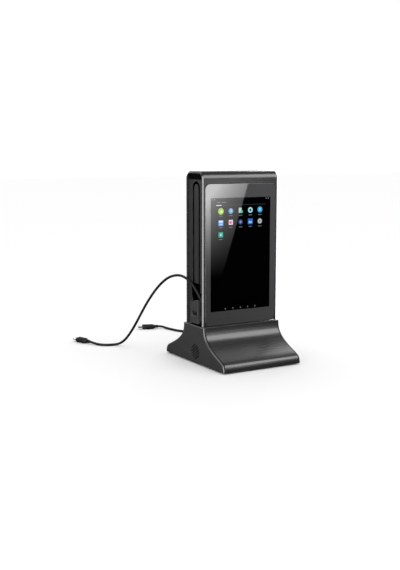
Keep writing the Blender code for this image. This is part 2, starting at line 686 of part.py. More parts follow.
def main():
    clear_scene()
    charcoal = finish("charcoal_plastic", (0.05, 0.05, 0.052), 0.42)
    matte = finish("matte_black_plastic", (0.02, 0.02, 0.021), 0.55)
    gloss = finish("gloss_black", (0.005, 0.005, 0.006), 0.08)
    glass = finish("printed_glass", (0.03, 0.03, 0.032), 0.06)
    rubber = finish("black_rubber", (0.012, 0.012, 0.012), 0.6)
    steel = finish("plated_steel", (0.55, 0.55, 0.56), 0.3, 1.0)
    green = finish("circuit_board", (0.02, 0.13, 0.06), 0.45)
    brass = finish("brass", (0.7, 0.5, 0.2), 0.3, 1.0)
    wrap = finish("cell_wrap", (0.35, 0.38, 0.42), 0.35)
    contact = finish("contact_black", (0.02, 0.02, 0.021), 0.5)
    amber = finish("flex_film", (0.5, 0.22, 0.04), 0.35)

    make_tower_shell(charcoal)
    make_glass(glass)
    make_bond_tape(matte)
    make_displays(gloss, amber)
    make_side_covers(charcoal)
    make_port_blocks(charcoal)
    make_keys(matte, green)
    make_usb_sockets(steel, contact)
    make_inlet(steel)
    make_top_inserts(gloss)
    make_chassis(steel)
    make_battery(wrap, matte)
    make_main_board(green, brass)
    make_base_covers(charcoal)
    make_base_caps(charcoal)
    make_speakers(matte)
    make_base_floor(matte, steel, rubber)
    make_gland(rubber)
    make_cable("cable_left", LEFT_ROUTE, rubber)
    make_cable("cable_right", RIGHT_ROUTE, rubber)
    make_plug("left", LEFT_ROUTE, LEFT_PLUG_HEADING, rubber, steel)
    make_plug("right", RIGHT_ROUTE, RIGHT_PLUG_HEADING, rubber, steel)


main()
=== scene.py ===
# %% [markdown]
# # A tabletop charging kiosk, dressed for its portrait
# The kiosk is a slim tower on a flared base, with a touch display on each face and
# a charging lead stored in each side. The working model is already built and fixed,
# and this lesson gives it its finished surface. Everything starts from that frame:
# pieces take their places from its boxes, so nothing has to be fitted by eye. Sizes
# are in millimetres, because moulded plastic is drawn in millimetres.

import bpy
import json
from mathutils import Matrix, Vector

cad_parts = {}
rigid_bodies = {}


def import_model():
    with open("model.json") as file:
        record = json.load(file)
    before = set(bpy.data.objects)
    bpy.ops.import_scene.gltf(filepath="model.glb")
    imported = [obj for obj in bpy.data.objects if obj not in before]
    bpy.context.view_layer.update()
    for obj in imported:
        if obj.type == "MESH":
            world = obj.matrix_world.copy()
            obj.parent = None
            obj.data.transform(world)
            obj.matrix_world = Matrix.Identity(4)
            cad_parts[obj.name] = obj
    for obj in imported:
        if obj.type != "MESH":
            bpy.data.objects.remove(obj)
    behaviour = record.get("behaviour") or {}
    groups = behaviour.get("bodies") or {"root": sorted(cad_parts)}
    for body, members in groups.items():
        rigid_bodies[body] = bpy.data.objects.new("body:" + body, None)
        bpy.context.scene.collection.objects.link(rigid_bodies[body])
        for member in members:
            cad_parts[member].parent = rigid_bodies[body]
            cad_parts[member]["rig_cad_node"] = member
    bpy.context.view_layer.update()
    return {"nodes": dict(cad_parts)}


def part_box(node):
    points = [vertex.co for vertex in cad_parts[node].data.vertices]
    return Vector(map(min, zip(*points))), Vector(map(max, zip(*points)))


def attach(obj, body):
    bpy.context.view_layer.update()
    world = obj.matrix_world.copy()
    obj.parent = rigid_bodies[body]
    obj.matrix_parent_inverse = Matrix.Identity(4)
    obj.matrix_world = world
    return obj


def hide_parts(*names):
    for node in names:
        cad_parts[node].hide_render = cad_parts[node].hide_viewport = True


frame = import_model()

import json
import math

import bmesh
import bpy
from mathutils import Matrix, Vector
from mathutils.geometry import interpolate_bezier

MM = 0.001
HERE = bpy.context.scene

# %% [markdown]
# ## Camera
# A product portrait is taken from a little to one side and a little above. The lens
# is longer than normal, so the tower's upright edges stay nearly parallel.

# %% Set the camera
YAW, PITCH = math.radians(30.43), math.radians(8.39)
lens = bpy.data.cameras.new("portrait_camera")
lens.lens = 57.57
lens.clip_end = 50
camera = bpy.data.objects.new("portrait_camera", lens)
camera.location = (-0.6618, -1.0409, 0.2839)
camera.rotation_euler = (math.pi / 2 - PITCH, 0, -YAW)
HERE.collection.objects.link(camera)
HERE.camera = camera
print(f"camera {camera.location.length:.2f} m from the kiosk's foot, lens {lens.lens:.1f} mm")

# %% [markdown]
# ## Small tools for making meshes
# Most of the kiosk's pieces are a closed outline that is carried along one axis, so
# one helper skins a stack of such outlines. Another rounds every sharp edge, because
# a moulded edge always has a small radius that catches light.

# %% Mesh helpers
def add_piece(name, mesh, body="kiosk"):
    """Link a mesh as a piece that rides on a body."""
    piece = bpy.data.objects.new(name, mesh)
    HERE.collection.objects.link(piece)
    if body:
        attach(piece, body)
    return piece


def skin(name, rings, body="kiosk"):
    """A closed solid through rings of points in millimetres, faces out."""
    bm = bmesh.new()
    loops = [[bm.verts.new(Vector(point) * MM) for point in ring] for ring in rings]
    count = len(loops[0])
    for low, high in zip(loops, loops[1:]):
        for i in range(count):
            j = (i + 1) % count
            bm.faces.new((low[i], low[j], high[j], high[i]))
    bm.faces.new(loops[0])
    bm.faces.new(list(reversed(loops[-1])))
    bmesh.ops.recalc_face_normals(bm, faces=bm.faces)
    mesh = bpy.data.meshes.new(name)
    bm.to_mesh(mesh)
    bm.free()
    mesh.shade_smooth()
    mesh.set_sharp_from_angle(angle=math.radians(30))
    return add_piece(name, mesh, body)


def across(axis, distance, outline):
    """A flat outline set across an axis, at a distance along it."""
    if axis == "X":
        return [(distance, u, v) for u, v in outline]
    if axis == "Y":
        return [(u, distance, v) for u, v in outline]
    return [(u, v, distance) for u, v in outline]


def prism(name, axis, outline, start, end, body="kiosk"):
    return skin(name, [across(axis, start, outline), across(axis, end, outline)], body)


def tool(axis, outline, start, end):
    """A prism on no body, to cut out of a piece or to join to one."""
    return prism("tool", axis, outline, start, end, None)


def rounded(centre, half, radius, steps=10):
    """Outline of a rectangle with round corners."""
    points = []
    for turn, (su, sv) in enumerate(((1, 1), (-1, 1), (-1, -1), (1, -1))):
        cu = centre[0] + su * (half[0] - radius)
        cv = centre[1] + sv * (half[1] - radius)
        for step in range(steps + 1):
            angle = math.pi / 2 * (turn + step / steps)
            points.append((cu + radius * math.cos(angle), cv + radius * math.sin(angle)))
    return points


def circle(centre, radius, sides=48):
    turns = [2 * math.pi * i / sides for i in range(sides)]
    return [(centre[0] + radius * math.cos(t), centre[1] + radius * math.sin(t)) for t in turns]


def carve(piece, *cutters, operation="DIFFERENCE"):
    """Cut with (or join) other solids, and keep the result as the piece's mesh."""
    for cutter in cutters:
        modifier = piece.modifiers.new("carve", "BOOLEAN")
        modifier.operation = operation
        modifier.solver = "EXACT"
        modifier.object = cutter
    graph = bpy.context.evaluated_depsgraph_get()
    mesh = bpy.data.meshes.new_from_object(piece.evaluated_get(graph))
    piece.modifiers.clear()
    piece.data = mesh
    for cutter in cutters:
        bpy.data.objects.remove(cutter, do_unlink=True)
    mesh.shade_smooth()
    mesh.set_sharp_from_angle(angle=math.radians(30))
    return piece


def ease(piece, width, segments=3, angle=40):
    """Round the sharp edges by a width in millimetres."""
    modifier = piece.modifiers.new("ease", "BEVEL")
    modifier.width = width * MM
    modifier.segments = segments
    modifier.limit_method = "ANGLE"
    modifier.angle_limit = math.radians(angle)
    modifier.use_clamp_overlap = True
    modifier.harden_normals = True
    return piece


def box_mm(node):
    """Lowest and highest corner of a node of the frame, in millimetres."""
    return [[value / MM for value in corner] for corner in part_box(node)]


def tell(*pieces):
    """Print how big each new piece is and how many points it has."""
    for piece in pieces:
        size = " x ".join(f"{side / MM:.1f}" for side in piece.dimensions)
        print(f"{piece.name}: {size} mm, {len(piece.data.vertices)} points")


def upright(node):
    """Bottom, top, centre and radius of a round node that stands on end."""
    low, high = box_mm(node)
    return low[2], high[2], ((low[0] + high[0]) / 2, (low[1] + high[1]) / 2), (high[0] - low[0]) / 2


def turned(piece, name, replaced):
    """The same piece on the other side of the kiosk, after half a turn."""
    twin = bpy.data.objects.new(name, piece.data)
    HERE.collection.objects.link(twin)
    for modifier in piece.modifiers:
        copy = twin.modifiers.new(modifier.name, modifier.type)
        for key in ("width", "segments", "limit_method", "angle_limit", "harden_normals"):
            setattr(copy, key, getattr(modifier, key))
    twin.matrix_world = Matrix.Rotation(math.pi, 4, "Z")
    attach(twin, "kiosk")
    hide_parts(replaced)
    return twin


# %% [markdown]
# ## The two charging leads
# Each lead is a limp 3.5 mm cord with a moulded plug. It leaves a slot in the tower's
# side pointing up, bows over under its own weight and runs out along the table. A
# cord reads as real when one smooth curve carries it, so the route's points are only
# guides, and a spline passes through them.

# %% Lay the leads
CORD_RADIUS = 1.75
LEFT_ROUTE = (
    (-54.0, -12.5, 76.3), (-54.2, -12.5, 80.5), (-55.6, -12.2, 86.5), (-57.6, -10.4, 92.3),
    (-59.6, -4.8, 100.4), (-61.6, 3.4, 108.5), (-64.0, 14.3, 114.5), (-67.2, 28.6, 116.8),
    (-71.2, 45.8, 112.8), (-74.7, 60.8, 103.9), (-78.1, 75.5, 91.2), (-81.7, 91.9, 73.3),
    (-84.8, 105.6, 55.5), (-87.9, 118.8, 37.2), (-91.2, 131.0, 21.6), (-94.6, 142.0, 10.0),
    (-99.2, 150.8, 3.6), (-106.4, 155.4, 1.9), (-114.6, 157.4, 1.9), (-121.6, 163.0, 1.9),
    (-126.9, 171.4, 2.3), (-130.7, 180.4, 3.4), (-132.0, 184.6, 3.7),
)
RIGHT_ROUTE = (
    (54.0, 12.5, 76.3), (54.2, 12.4, 80.5), (55.5, 12.1, 86.0), (58.0, 12.9, 91.4),
    (60.8, 17.2, 97.2), (62.5, 25.2, 101.0), (63.0, 35.2, 100.4), (62.4, 46.0, 95.0),
    (60.8, 57.4, 84.8), (58.4, 69.4, 70.4), (55.8, 81.4, 53.8), (53.0, 93.4, 37.0),
    (50.0, 105.8, 21.6), (47.0, 118.6, 9.6), (44.4, 131.6, 3.2), (42.4, 145.0, 1.9),
    (39.8, 160.0, 1.9), (36.0, 175.0, 1.9), (30.6, 189.6, 1.9), (26.2, 200.0, 1.9),
    (23.4, 210.6, 1.9), (21.6, 221.0, 1.9), (19.9, 229.8, 2.3), (16.8, 235.9, 3.2),
    (12.0, 238.6, 3.7),
)


def smooth_route(points, steps=12):
    """Many points on a smooth curve through the route's own points."""
    knots = [Vector(point) for point in points]
    fine = []
    for i in range(len(knots) - 1):
        before, start = knots[max(i - 1, 0)], knots[i]
        end, after = knots[i + 1], knots[min(i + 2, len(knots) - 1)]
        handles = (start, start + (end - before) / 6, end - (after - start) / 6, end)
        fine += interpolate_bezier(*handles, steps)[(1 if fine else 0):]
    return fine


def lay_cord(name, route):
    """One open curve with a round section; returns the piece and its length in metres."""
    points = smooth_route(route)
    curve = bpy.data.curves.new(name, "CURVE")
    curve.dimensions = "3D"
    curve.bevel_depth = 1.0
    curve.bevel_resolution = 6
    curve.use_fill_caps = True
    spline = curve.splines.new("POLY")
    spline.points.add(len(points) - 1)
    for knot, point in zip(spline.points, points):
        knot.co = (*(point * MM), 1)
        knot.radius = CORD_RADIUS * MM
    piece = bpy.data.objects.new(name, curve)
    HERE.collection.objects.link(piece)
    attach(piece, "kiosk")
    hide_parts(name.replace("lead", "cable"))
    length = sum((b - a).length for a, b in zip(points, points[1:])) * MM
    print(name, "is", round(length * 1000), "mm long")
    return piece, length


lead_left, length_left = lay_cord("lead_left", LEFT_ROUTE)
lead_right, length_right = lay_cord("lead_right", RIGHT_ROUTE)

# %% [markdown]
# ## Plugs and strain reliefs
# A cheap charging plug is overmoulded: a soft rubber sleeve at the lead, a wider grip
# with shallow ribs, and a flat metal tip. Rings of rounded rectangles, each with its
# own size, give that shape in one skin, and a rib is just a ring that is a little
# wider than its neighbours.

# %% Mould the plugs
PLUG_BODY, PLUG_TIP, PLUG_GAP = 26.0, 6.7, 0.3
PLUG_HEADINGS = {"left": (-0.303, 0.953), "right": (-0.949, 0.316)}


def plug_matrix(side, route):
    """Where the plug sits: at the route's end, along its heading."""
    heading = PLUG_HEADINGS[side]
    turn = Matrix.Rotation(math.atan2(heading[1], heading[0]), 4, "Z")
    return Matrix.Translation(Vector(route[-1]) * MM) @ turn


def plug_profile():
    """Stations along the plug: distance, half width and half height."""
    stations = [(0.3, 2.0, 2.0)]
    for i in range(3):
        start = 0.9 + 1.4 * i
        stations += [(start, 2.05 + 0.03 * i, 2.05), (start + 0.15, 2.4 + 0.05 * i, 2.4),
                     (start + 0.75, 2.4 + 0.05 * i, 2.4), (start + 0.9, 2.08 + 0.03 * i, 2.05)]
    stations += [(5.2, 2.25, 2.2), (6.2, 2.8, 2.5), (7.4, 3.7, 2.95),
                 (8.6, 4.5, 3.2), (10.0, 5.1, 3.4), (11.0, 5.25, 3.45)]
    for i in range(6):
        start = 12.0 + 1.3 * i
        stations += [(start, 5.3, 3.5), (start + 0.2, 5.05, 3.3),
                     (start + 0.6, 5.05, 3.3), (start + 0.8, 5.3, 3.5)]
    return stations + [(22.0, 5.3, 3.5), (24.4, 5.25, 3.45), (25.4, 5.0, 3.2), (PLUG_BODY, 4.5, 2.7)]


def mould_plug(side, route):
    """The rubber grip and the metal tip with its tongue."""
    rings = [across("X", x, rounded((0, 0), (u, v), min(u, v) * 0.75, 6)) for x, u, v in plug_profile()]
    body = skin(f"plug_grip_{side}", rings, None)
    start = PLUG_BODY + PLUG_GAP
    end = start + PLUG_TIP
    sleeve = prism(f"plug_shell_{side}", "X", rounded((0, 0), (3.9, 1.15), 1.1, 8), start, end, None)
    hollow = tool("X", rounded((0, 0), (3.6, 0.85), 0.8, 8), start + 1.0, end + 1)
    tongue = tool("X", rounded((0, 0), (2.9, 0.3), 0.1, 2), start + 0.5, end - 0.8)
    carve(sleeve, hollow)
    carve(sleeve, tongue, operation="UNION")
    ease(sleeve, 0.08, 2)
    for piece, node in ((body, "plug_body_"), (sleeve, "plug_tip_")):
        piece.matrix_world = plug_matrix(side, route)
        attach(piece, "kiosk")
        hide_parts(node + side)
    return body, sleeve


RELIEF_RIBS, GROOVE, RIB = 6, 1.6, 1.78


def mould_relief(side):
    """Short ribbed sleeve that holds the lead in its slot."""
    foot, top, centre, _ = upright(f"cable_gland_{side}")
    step = (top - foot) / RELIEF_RIBS
    rings = []
    for i in range(RELIEF_RIBS):
        bottom = foot + (top - foot) * i / RELIEF_RIBS
        for share, radius in ((0.0, GROOVE), (0.1, RIB), (0.75, RIB), (0.9, GROOVE)):
            rings.append(across("Z", bottom + share * step, circle(centre, radius, 24)))
    rings.append(across("Z", top, circle(centre, CORD_RADIUS, 24)))
    piece = skin(f"relief_{side}", rings)
    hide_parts(f"cable_gland_{side}")
    return piece


plugs = {side: mould_plug(side, route) for side, route in (("left", LEFT_ROUTE), ("right", RIGHT_ROUTE))}
reliefs = [mould_relief(side) for side in ("left", "right")]
tell(*plugs["left"], reliefs[0])

# %% [markdown]
# ## The tower shell
# One moulding wraps the front, the top and the back like a bent strip. Its rim has a
# flat chamfer, which mirrors one direction along its whole length and so draws the
# bright line down the kiosk's edge; a full round would only give a hairline. The
# outline is an arch, and the chamfer is the same arch drawn in at both ends.

# %% Wrap the shell
low, high = box_mm("tower_shell")
SHELL_X, SHELL_Y, SHELL_TOP, SHELL_FOOT = high[0], high[1], high[2], low[2]
WALL, RIM, TOP_RADIUS = 3.0, 1.7, 10.0
pane_low, pane_high = box_mm("glass_front")
PANE_X, PANE_LOW, PANE_HIGH = pane_high[0], pane_low[2], pane_high[2]
PANE_RADIUS, PANE_GAP = 7.0, 0.3
REBATE, REBATE_FOOT = 1.5, 30
WINDOW = rounded((0, 147.1), (50.2, 81.1), 1.5)


def arch(half_y, top, radius, foot, steps=20):
    """Outline of an inverted U from the front foot over the top to the back foot."""
    points = [(-half_y, foot)]
    for side, start in ((-1, math.pi), (1, math.pi / 2)):
        for step in range(steps + 1):
            angle = start - math.pi / 2 * step / steps
            points.append((side * (half_y - radius) + radius * math.cos(angle),
                           top - radius + radius * math.sin(angle)))
    return points + [(half_y, foot)]


def wrap_shell():
    """The bent strip with its chamfers, a window on each face and a rebate for the glass."""
    stations = ((-SHELL_X, RIM), (RIM - SHELL_X, 0), (SHELL_X - RIM, 0), (SHELL_X, RIM))
    inner = arch(SHELL_Y - WALL, SHELL_TOP - WALL, TOP_RADIUS - WALL, SHELL_FOOT)[::-1]
    rings = [across("X", x, arch(SHELL_Y - drawn, SHELL_TOP - drawn, TOP_RADIUS - drawn, SHELL_FOOT) + inner)
             for x, drawn in stations]
    shell = skin("shell", rings)
    half = (PANE_X + PANE_GAP, (PANE_HIGH - REBATE_FOOT) / 2 + PANE_GAP)
    bed = rounded((0, (PANE_HIGH + REBATE_FOOT) / 2), half, PANE_RADIUS + PANE_GAP, 12)
    cutters = []
    for side in (-1, 1):
        for outline, inner_y, outer_y in ((bed, SHELL_Y - REBATE, SHELL_Y + 2),
                                          (WINDOW, SHELL_Y - WALL - 1, SHELL_Y)):
            near, far = sorted((side * inner_y, side * outer_y))
            cutters.append(tool("Y", outline, near, far))
    carve(shell, *cutters)
    ease(shell, 0.3, 3, 40)
    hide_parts("tower_shell")
    return shell


shell = wrap_shell()
tell(shell)

# %% [markdown]
# ## Cover glass
# Each face has one sheet of glass, printed dark grey on its back round the lit area.
# Its edge is ground to a small round, which shows as a fine bright outline.

# %% Cut the glass
def cut_glass():
    half = (PANE_X, (PANE_HIGH - PANE_LOW) / 2)
    middle = (0, (PANE_HIGH + PANE_LOW) / 2)
    pane = prism("pane_front", "Y", rounded(middle, half, PANE_RADIUS, 16), pane_low[1], pane_high[1])
    ease(pane, 0.35, 3, 50)
    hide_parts("glass_front")
    return pane


pane_front = cut_glass()
pane_rear = turned(pane_front, "pane_rear", "glass_rear")
tell(pane_front)

# %% [markdown]
# ## Side covers
# The cover that closes each side holds the lead when it isn't in use: an inverted-U
# channel runs round a long island, and the plug parks in the pocket below it. These
# are deep, dark cuts in one moulding, so they are cut with solids, and the lips are
# rounded afterwards.

# %% Cut the side covers
cover_low, cover_high = box_mm("side_cover_left")
COVER_FACE = cover_low[0]
CHANNEL_TOP, CHANNEL_OUTER, CHANNEL_INNER, CHANNEL_FLOOR = 244.0, 9.3, 5.55, -50.6
CHANNEL_FOOT = 90
POCKET = ((-10.0, 84.0), (8.4, 84.0), (12.6, 96.0), (12.6, 103.5), (10.2, 108.5), (-10.0, 108.5))
BLOCK_BAY = ((-10.3, 50), (10.5, 50), (10.5, 84), (-10.3, 88.5))
LEAD_SLOT = ((-14.7, 66), (-9.7, 66), (-9.7, 96), (-14.7, 96))
NOTCH = rounded((-12.05, 55), (1.35, 4.6), 0.6, 4)
POCKET_FLOOR, BAY_FLOOR, NOTCH_FLOOR = -49.0, -45, -53.5
STEP_NEAR, STEP_FAR = 17.0, 20.0


def channel_outline():
    """The inverted-U channel: up round its outer arch and back round the island."""
    points = []
    centre_z = CHANNEL_TOP - CHANNEL_OUTER
    turns = [math.pi * i / 24 for i in range(25)]
    for half_y, order in ((CHANNEL_OUTER, 1), (CHANNEL_INNER, -1)):
        bow = [(half_y * math.cos(t), centre_z + half_y * math.sin(t)) for t in turns]
        points += [(half_y, CHANNEL_FOOT), *bow, (-half_y, CHANNEL_FOOT)][::order]
    return points


def cut_side_cover():
    """A flat cover with its hollows; a step along each side lets it sit inside the shell."""
    half_z = (cover_high[2] - cover_low[2]) / 2
    outline = rounded((0, cover_low[2] + half_z), (cover_high[1], half_z), 0.5, 3)
    cover = prism("cover_left", "X", outline, COVER_FACE, cover_high[0])
    hollows = ((channel_outline(), CHANNEL_FLOOR), (POCKET, POCKET_FLOOR), (BLOCK_BAY, BAY_FLOOR),
               (LEAD_SLOT, CHANNEL_FLOOR), (NOTCH, NOTCH_FLOOR))
    cutters = [tool("X", hollow, COVER_FACE - 2, bottom) for hollow, bottom in hollows]
    for side in (-1, 1):
        near, far = sorted((side * STEP_NEAR, side * STEP_FAR))
        cutters.append(tool("Z", ((-51, near), (-45, near), (-45, far), (-51, far)), 0, 260))
    carve(cover, *cutters)
    ease(cover, 0.45, 3, 50)
    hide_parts("side_cover_left")
    return cover


cover_left = cut_side_cover()
cover_right = turned(cover_left, "cover_right", "side_cover_right")
tell(cover_left)

# %% [markdown]
# ## Port blocks and top inserts
# The raised block at the foot of each side holds the USB socket. The right one also
# has three keys and the kiosk's own charging inlet. Above each cover, a gloss insert
# closes the arch.

# %% Mould the blocks and inserts
block_low, block_high = box_mm("port_block_left")
USB_Z, INLET_Z, KEY_Z, KEY_STEP, KEY_HOLE = 68.1, 59.6, 77.6, 6.4, 2.5
BLOCK_BACK_TOP = 83.0


def mould_block(name, replaced, keys):
    """A block with a slanting top and holes for the socket, the inlet and the keys."""
    outline = ((block_low[1], block_low[2]), (block_high[1], block_low[2]),
               (block_high[1], BLOCK_BACK_TOP), (block_low[1], block_high[2]))
    block = prism(name, "X", outline, block_low[0], block_high[0], None)
    holes = [rounded((0, USB_Z), (6.85, 3.15), 0.5, 4)]
    if keys:
        holes.append(rounded((0, INLET_Z), (4.7, 1.9), 1.85, 8))
        holes += [circle((y, KEY_Z), KEY_HOLE, 40) for y in (-KEY_STEP, 0, KEY_STEP)]
    carve(block, *[tool("X", hole, block_low[0] - 2, block_high[0] + 2) for hole in holes])
    ease(block, 0.5, 3, 50)
    if keys:
        block.matrix_world = Matrix.Rotation(math.pi, 4, "Z")
    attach(block, "kiosk")
    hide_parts(replaced)
    return block


block_left = mould_block("block_left", "port_block_left", False)
block_right = mould_block("block_right", "port_block_right", True)
insert_low, insert_high = box_mm("top_insert_left")
INSERT_RADIUS = 6.7


def insert_outline(steps=14):
    """The top of the arch, cut off level at the insert's foot."""
    centre_y, centre_z = SHELL_Y - TOP_RADIUS, insert_high[2] - INSERT_RADIUS
    first = math.asin((insert_low[2] - centre_z) / INSERT_RADIUS)
    turns = [first + (math.pi / 2 - first) * step / steps for step in range(steps + 1)]
    rear = [(centre_y + INSERT_RADIUS * math.cos(t), centre_z + INSERT_RADIUS * math.sin(t)) for t in turns]
    return rear + [(-y, z) for y, z in reversed(rear)]


insert_left = prism("insert_left", "X", insert_outline(), insert_low[0], insert_high[0])
ease(insert_left, 0.5, 3, 50)
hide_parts("top_insert_left")
insert_right = turned(insert_left, "insert_right", "top_insert_right")
tell(block_left, block_right, insert_left)

# %% [markdown]
# ## Sockets, inlet and keys
# A USB-A socket is a folded steel shell round a black tongue with a groove for each
# of its four contacts. They sit deep in shadow, but a close view needs them.

# %% Make the sockets and keys
SHEET, INLET_SHEET = 0.35, 0.3
CONTACTS = (-3.5, -1.1, 1.1, 3.5)


def make_socket():
    """The steel shell with two spring cut-outs above and below, and the tongue inside it."""
    low, high = box_mm("usb_socket_left")
    half_y, half_z = high[1], (high[2] - low[2]) / 2
    shell = prism("socket_left", "X", rounded((0, USB_Z), (half_y, half_z), 0.6, 4), low[0], high[0])
    mouth = rounded((0, USB_Z), (half_y - SHEET, half_z - SHEET), 0.4, 4)
    hollow = tool("X", mouth, low[0] - 2, high[0] - 1.2)
    springs = [tool("Z", rounded((low[0] + 6, y), (2.6, 1.0), 0.3, 3), 60, 80) for y in (-3, 3)]
    carve(shell, hollow, *springs)
    ease(shell, 0.1, 2, 50)
    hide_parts("usb_socket_left")
    low, high = box_mm("usb_tongue_left")
    outline = rounded((0, (low[2] + high[2]) / 2), (high[1], (high[2] - low[2]) / 2), 0.2, 3)
    tongue = prism("tongue_left", "X", outline, low[0], high[0])
    grooves = [tool("X", rounded((y, low[2]), (0.75, 0.18), 0.05, 2), low[0] - 1, high[0] - 1.5)
               for y in CONTACTS]
    carve(tongue, *grooves)
    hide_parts("usb_tongue_left")
    return shell, tongue


socket_left, tongue_left = make_socket()
socket_right = turned(socket_left, "socket_right", "usb_socket_right")
tongue_right = turned(tongue_left, "tongue_right", "usb_tongue_right")

low, high = box_mm("charge_inlet")
half_y, half_z = high[1], (high[2] - low[2]) / 2
inlet = prism("inlet", "X", rounded((0, INLET_Z), (half_y, half_z), 1.58, 10), low[0], high[0])
mouth = rounded((0, INLET_Z), (half_y - INLET_SHEET, half_z - INLET_SHEET), 1.28, 10)
carve(inlet, tool("X", mouth, low[0] + 1.5, high[0] + 2))
blade = tool("X", rounded((0, INLET_Z), (3.1, 0.35), 0.1, 3), low[0] + 1, high[0] - 1.2)
carve(inlet, blade, operation="UNION")
ease(inlet, 0.08, 2, 50)
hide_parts("charge_inlet")


KEY_ROUND, KEY_DISH = 0.5, 0.16


def make_key(name, node, body):
    """Round key with a dished top, on its own body so that it presses in."""
    low, high = box_mm(node)
    centre, radius = ((low[1] + high[1]) / 2, (low[2] + high[2]) / 2), (high[2] - low[2]) / 2
    rings = [across("X", low[0], circle(centre, radius))]
    for share in (0.0, 0.3, 0.6, 0.8, 0.95, 1.0):
        turn = math.pi / 2 * share
        rings.append(across("X", high[0] - KEY_ROUND * (1 - math.sin(turn)),
                            circle(centre, radius - KEY_ROUND * (1 - math.cos(turn)))))
    for share in (0.7, 0.4, 0.1):
        rings.append(across("X", high[0] - KEY_DISH * (1 - share * share),
                            circle(centre, (radius - KEY_ROUND) * share)))
    key = skin(name, rings, body)
    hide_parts(node)
    return key


keys = [make_key("key_power", "power_button", "power_key"),
        make_key("key_volume_up", "volume_up_button", "volume_up_key"),
        make_key("key_volume_down", "volume_down_button", "volume_down_key")]
tell(socket_left, tongue_left, inlet, *keys)

# %% [markdown]
# ## The flared base
# The base sweeps out from the tower's foot to a round lip. The sweep is three Bezier
# curves that share their tangents, so the reflection flows over it without a kink.
# A cover is that curve carried across as a thin wall, as the real moulding is.

# %% Sweep the base
base_low, base_high = box_mm("base_cover_front")
BASE_TOP, BASE_FOOT, BASE_DEEP = base_high[2], base_low[2], -base_low[1]
COVER_END, BASE_WALL = base_high[0], 2.4
COVER_LIP, SWEEP_TOP_Y = 17.0, 27.2


def flare(steps=18):
    """Half outline of the base from its top edge to its foot, as depth and height."""
    curves = (((26.8, BASE_TOP), (27.2, 42.6), (28.6, 36.0), (44.0, 26.8)),
              ((44.0, 26.8), (51.3, 22.4), (58.8, 19.3), (64.8, 16.7)),
              ((64.8, 16.7), (74.6, 12.5), (BASE_DEEP, 10.6), (BASE_DEEP, BASE_FOOT)))
    points = []
    for knots in curves:
        run = interpolate_bezier(*(Vector((y, z)) for y, z in knots), steps)
        points += [(p.x, p.y) for p in run[(1 if points else 0):]]
    return points


def inset(points, distance):
    """An open outline moved to its inner side, at right angles to itself."""
    moved = []
    for i, point in enumerate(points):
        before, after = points[max(i - 1, 0)], points[min(i + 1, len(points) - 1)]
        heading = (Vector(after) - Vector(before)).normalized()
        moved.append((point[0] + heading.y * distance, point[1] - heading.x * distance))
    return moved


def sweep_cover():
    """A thin wall along the flare, with a flange that meets the tower."""
    outer = flare()
    inner = [p for p in inset(outer, BASE_WALL) if p[1] < BASE_TOP - BASE_WALL - 1.5]
    inner[-1] = (inner[-1][0], BASE_FOOT)
    flange = [(SWEEP_TOP_Y - BASE_WALL, BASE_TOP - BASE_WALL), (COVER_LIP, BASE_TOP - BASE_WALL),
              (COVER_LIP, BASE_TOP)]
    outline = [(-y, z) for y, z in outer + inner[::-1] + flange]
    cover = prism("sweep_front", "X", outline, -COVER_END, COVER_END)
    ease(cover, 0.2, 3, 50)
    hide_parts("base_cover_front")
    return cover


sweep_front = sweep_cover()
sweep_rear = turned(sweep_front, "sweep_rear", "base_cover_rear")
tell(sweep_front)

# %% [markdown]
# ## Side caps and their grilles
# A cap closes each end of the base. It is the sweep's outline in rings, drawn in
# step by step for a rounded rim, and a narrow step behind the rim makes the dark
# seam against the covers. Six slanting slits in a shallow oval let the sound out;
# they are cut right through, so a close view looks into them.

# %% Cut the grille and mould the caps
cap_low, cap_high = box_mm("base_cap_left")
GRILLE, GRILLE_HALF = Vector((-5.0, 16.6)), (13.3, 10.4)
SLIT_COUNT, SLIT_SPACING, SLIT_HALF, SLIT_ANGLE = 6, 3.4, 0.9, math.radians(145)
SLIT_SPREAD, SLIT_REACH = 10.6, 10.8


def cap_outline(distance):
    """The base's whole side outline, drawn in by a distance."""
    half = flare(14)
    if distance:
        half = inset(half, distance)
        half[0] = (half[0][0], BASE_TOP - distance * 0.3)
        half = [(y, max(z, BASE_FOOT + distance * 0.4)) for y, z in half]
    return [(-y, z) for y, z in half] + [(y, z) for y, z in reversed(half)]


def grille_slits():
    """Slanting slits with round ends, as long as the oval is wide where they lie."""
    heading = Vector((math.cos(SLIT_ANGLE), math.sin(SLIT_ANGLE)))
    across_slit = Vector((-heading.y, heading.x))
    slits = []
    for i in range(SLIT_COUNT):
        offset = (i - (SLIT_COUNT - 1) / 2) * SLIT_SPACING
        reach = math.sqrt(1 - (offset / SLIT_SPREAD) ** 2) * SLIT_REACH
        outline = []
        for end, turn in ((1, 0), (-1, math.pi)):
            middle = GRILLE + across_slit * offset + heading * end * (reach - SLIT_HALF)
            for step in range(7):
                angle = turn - math.pi / 2 + math.pi * step / 6
                point = middle + (heading * math.cos(angle) + across_slit * math.sin(angle)) * SLIT_HALF
                outline.append((point.x, point.y))
        slits.append(tool("X", outline, cap_low[0] - 2, cap_high[0] + 2))
    return slits


SEAM_WIDE, SEAM_DEEP = 0.8, 1.3
CAP_ROUND, DISH = 3.0, 0.15


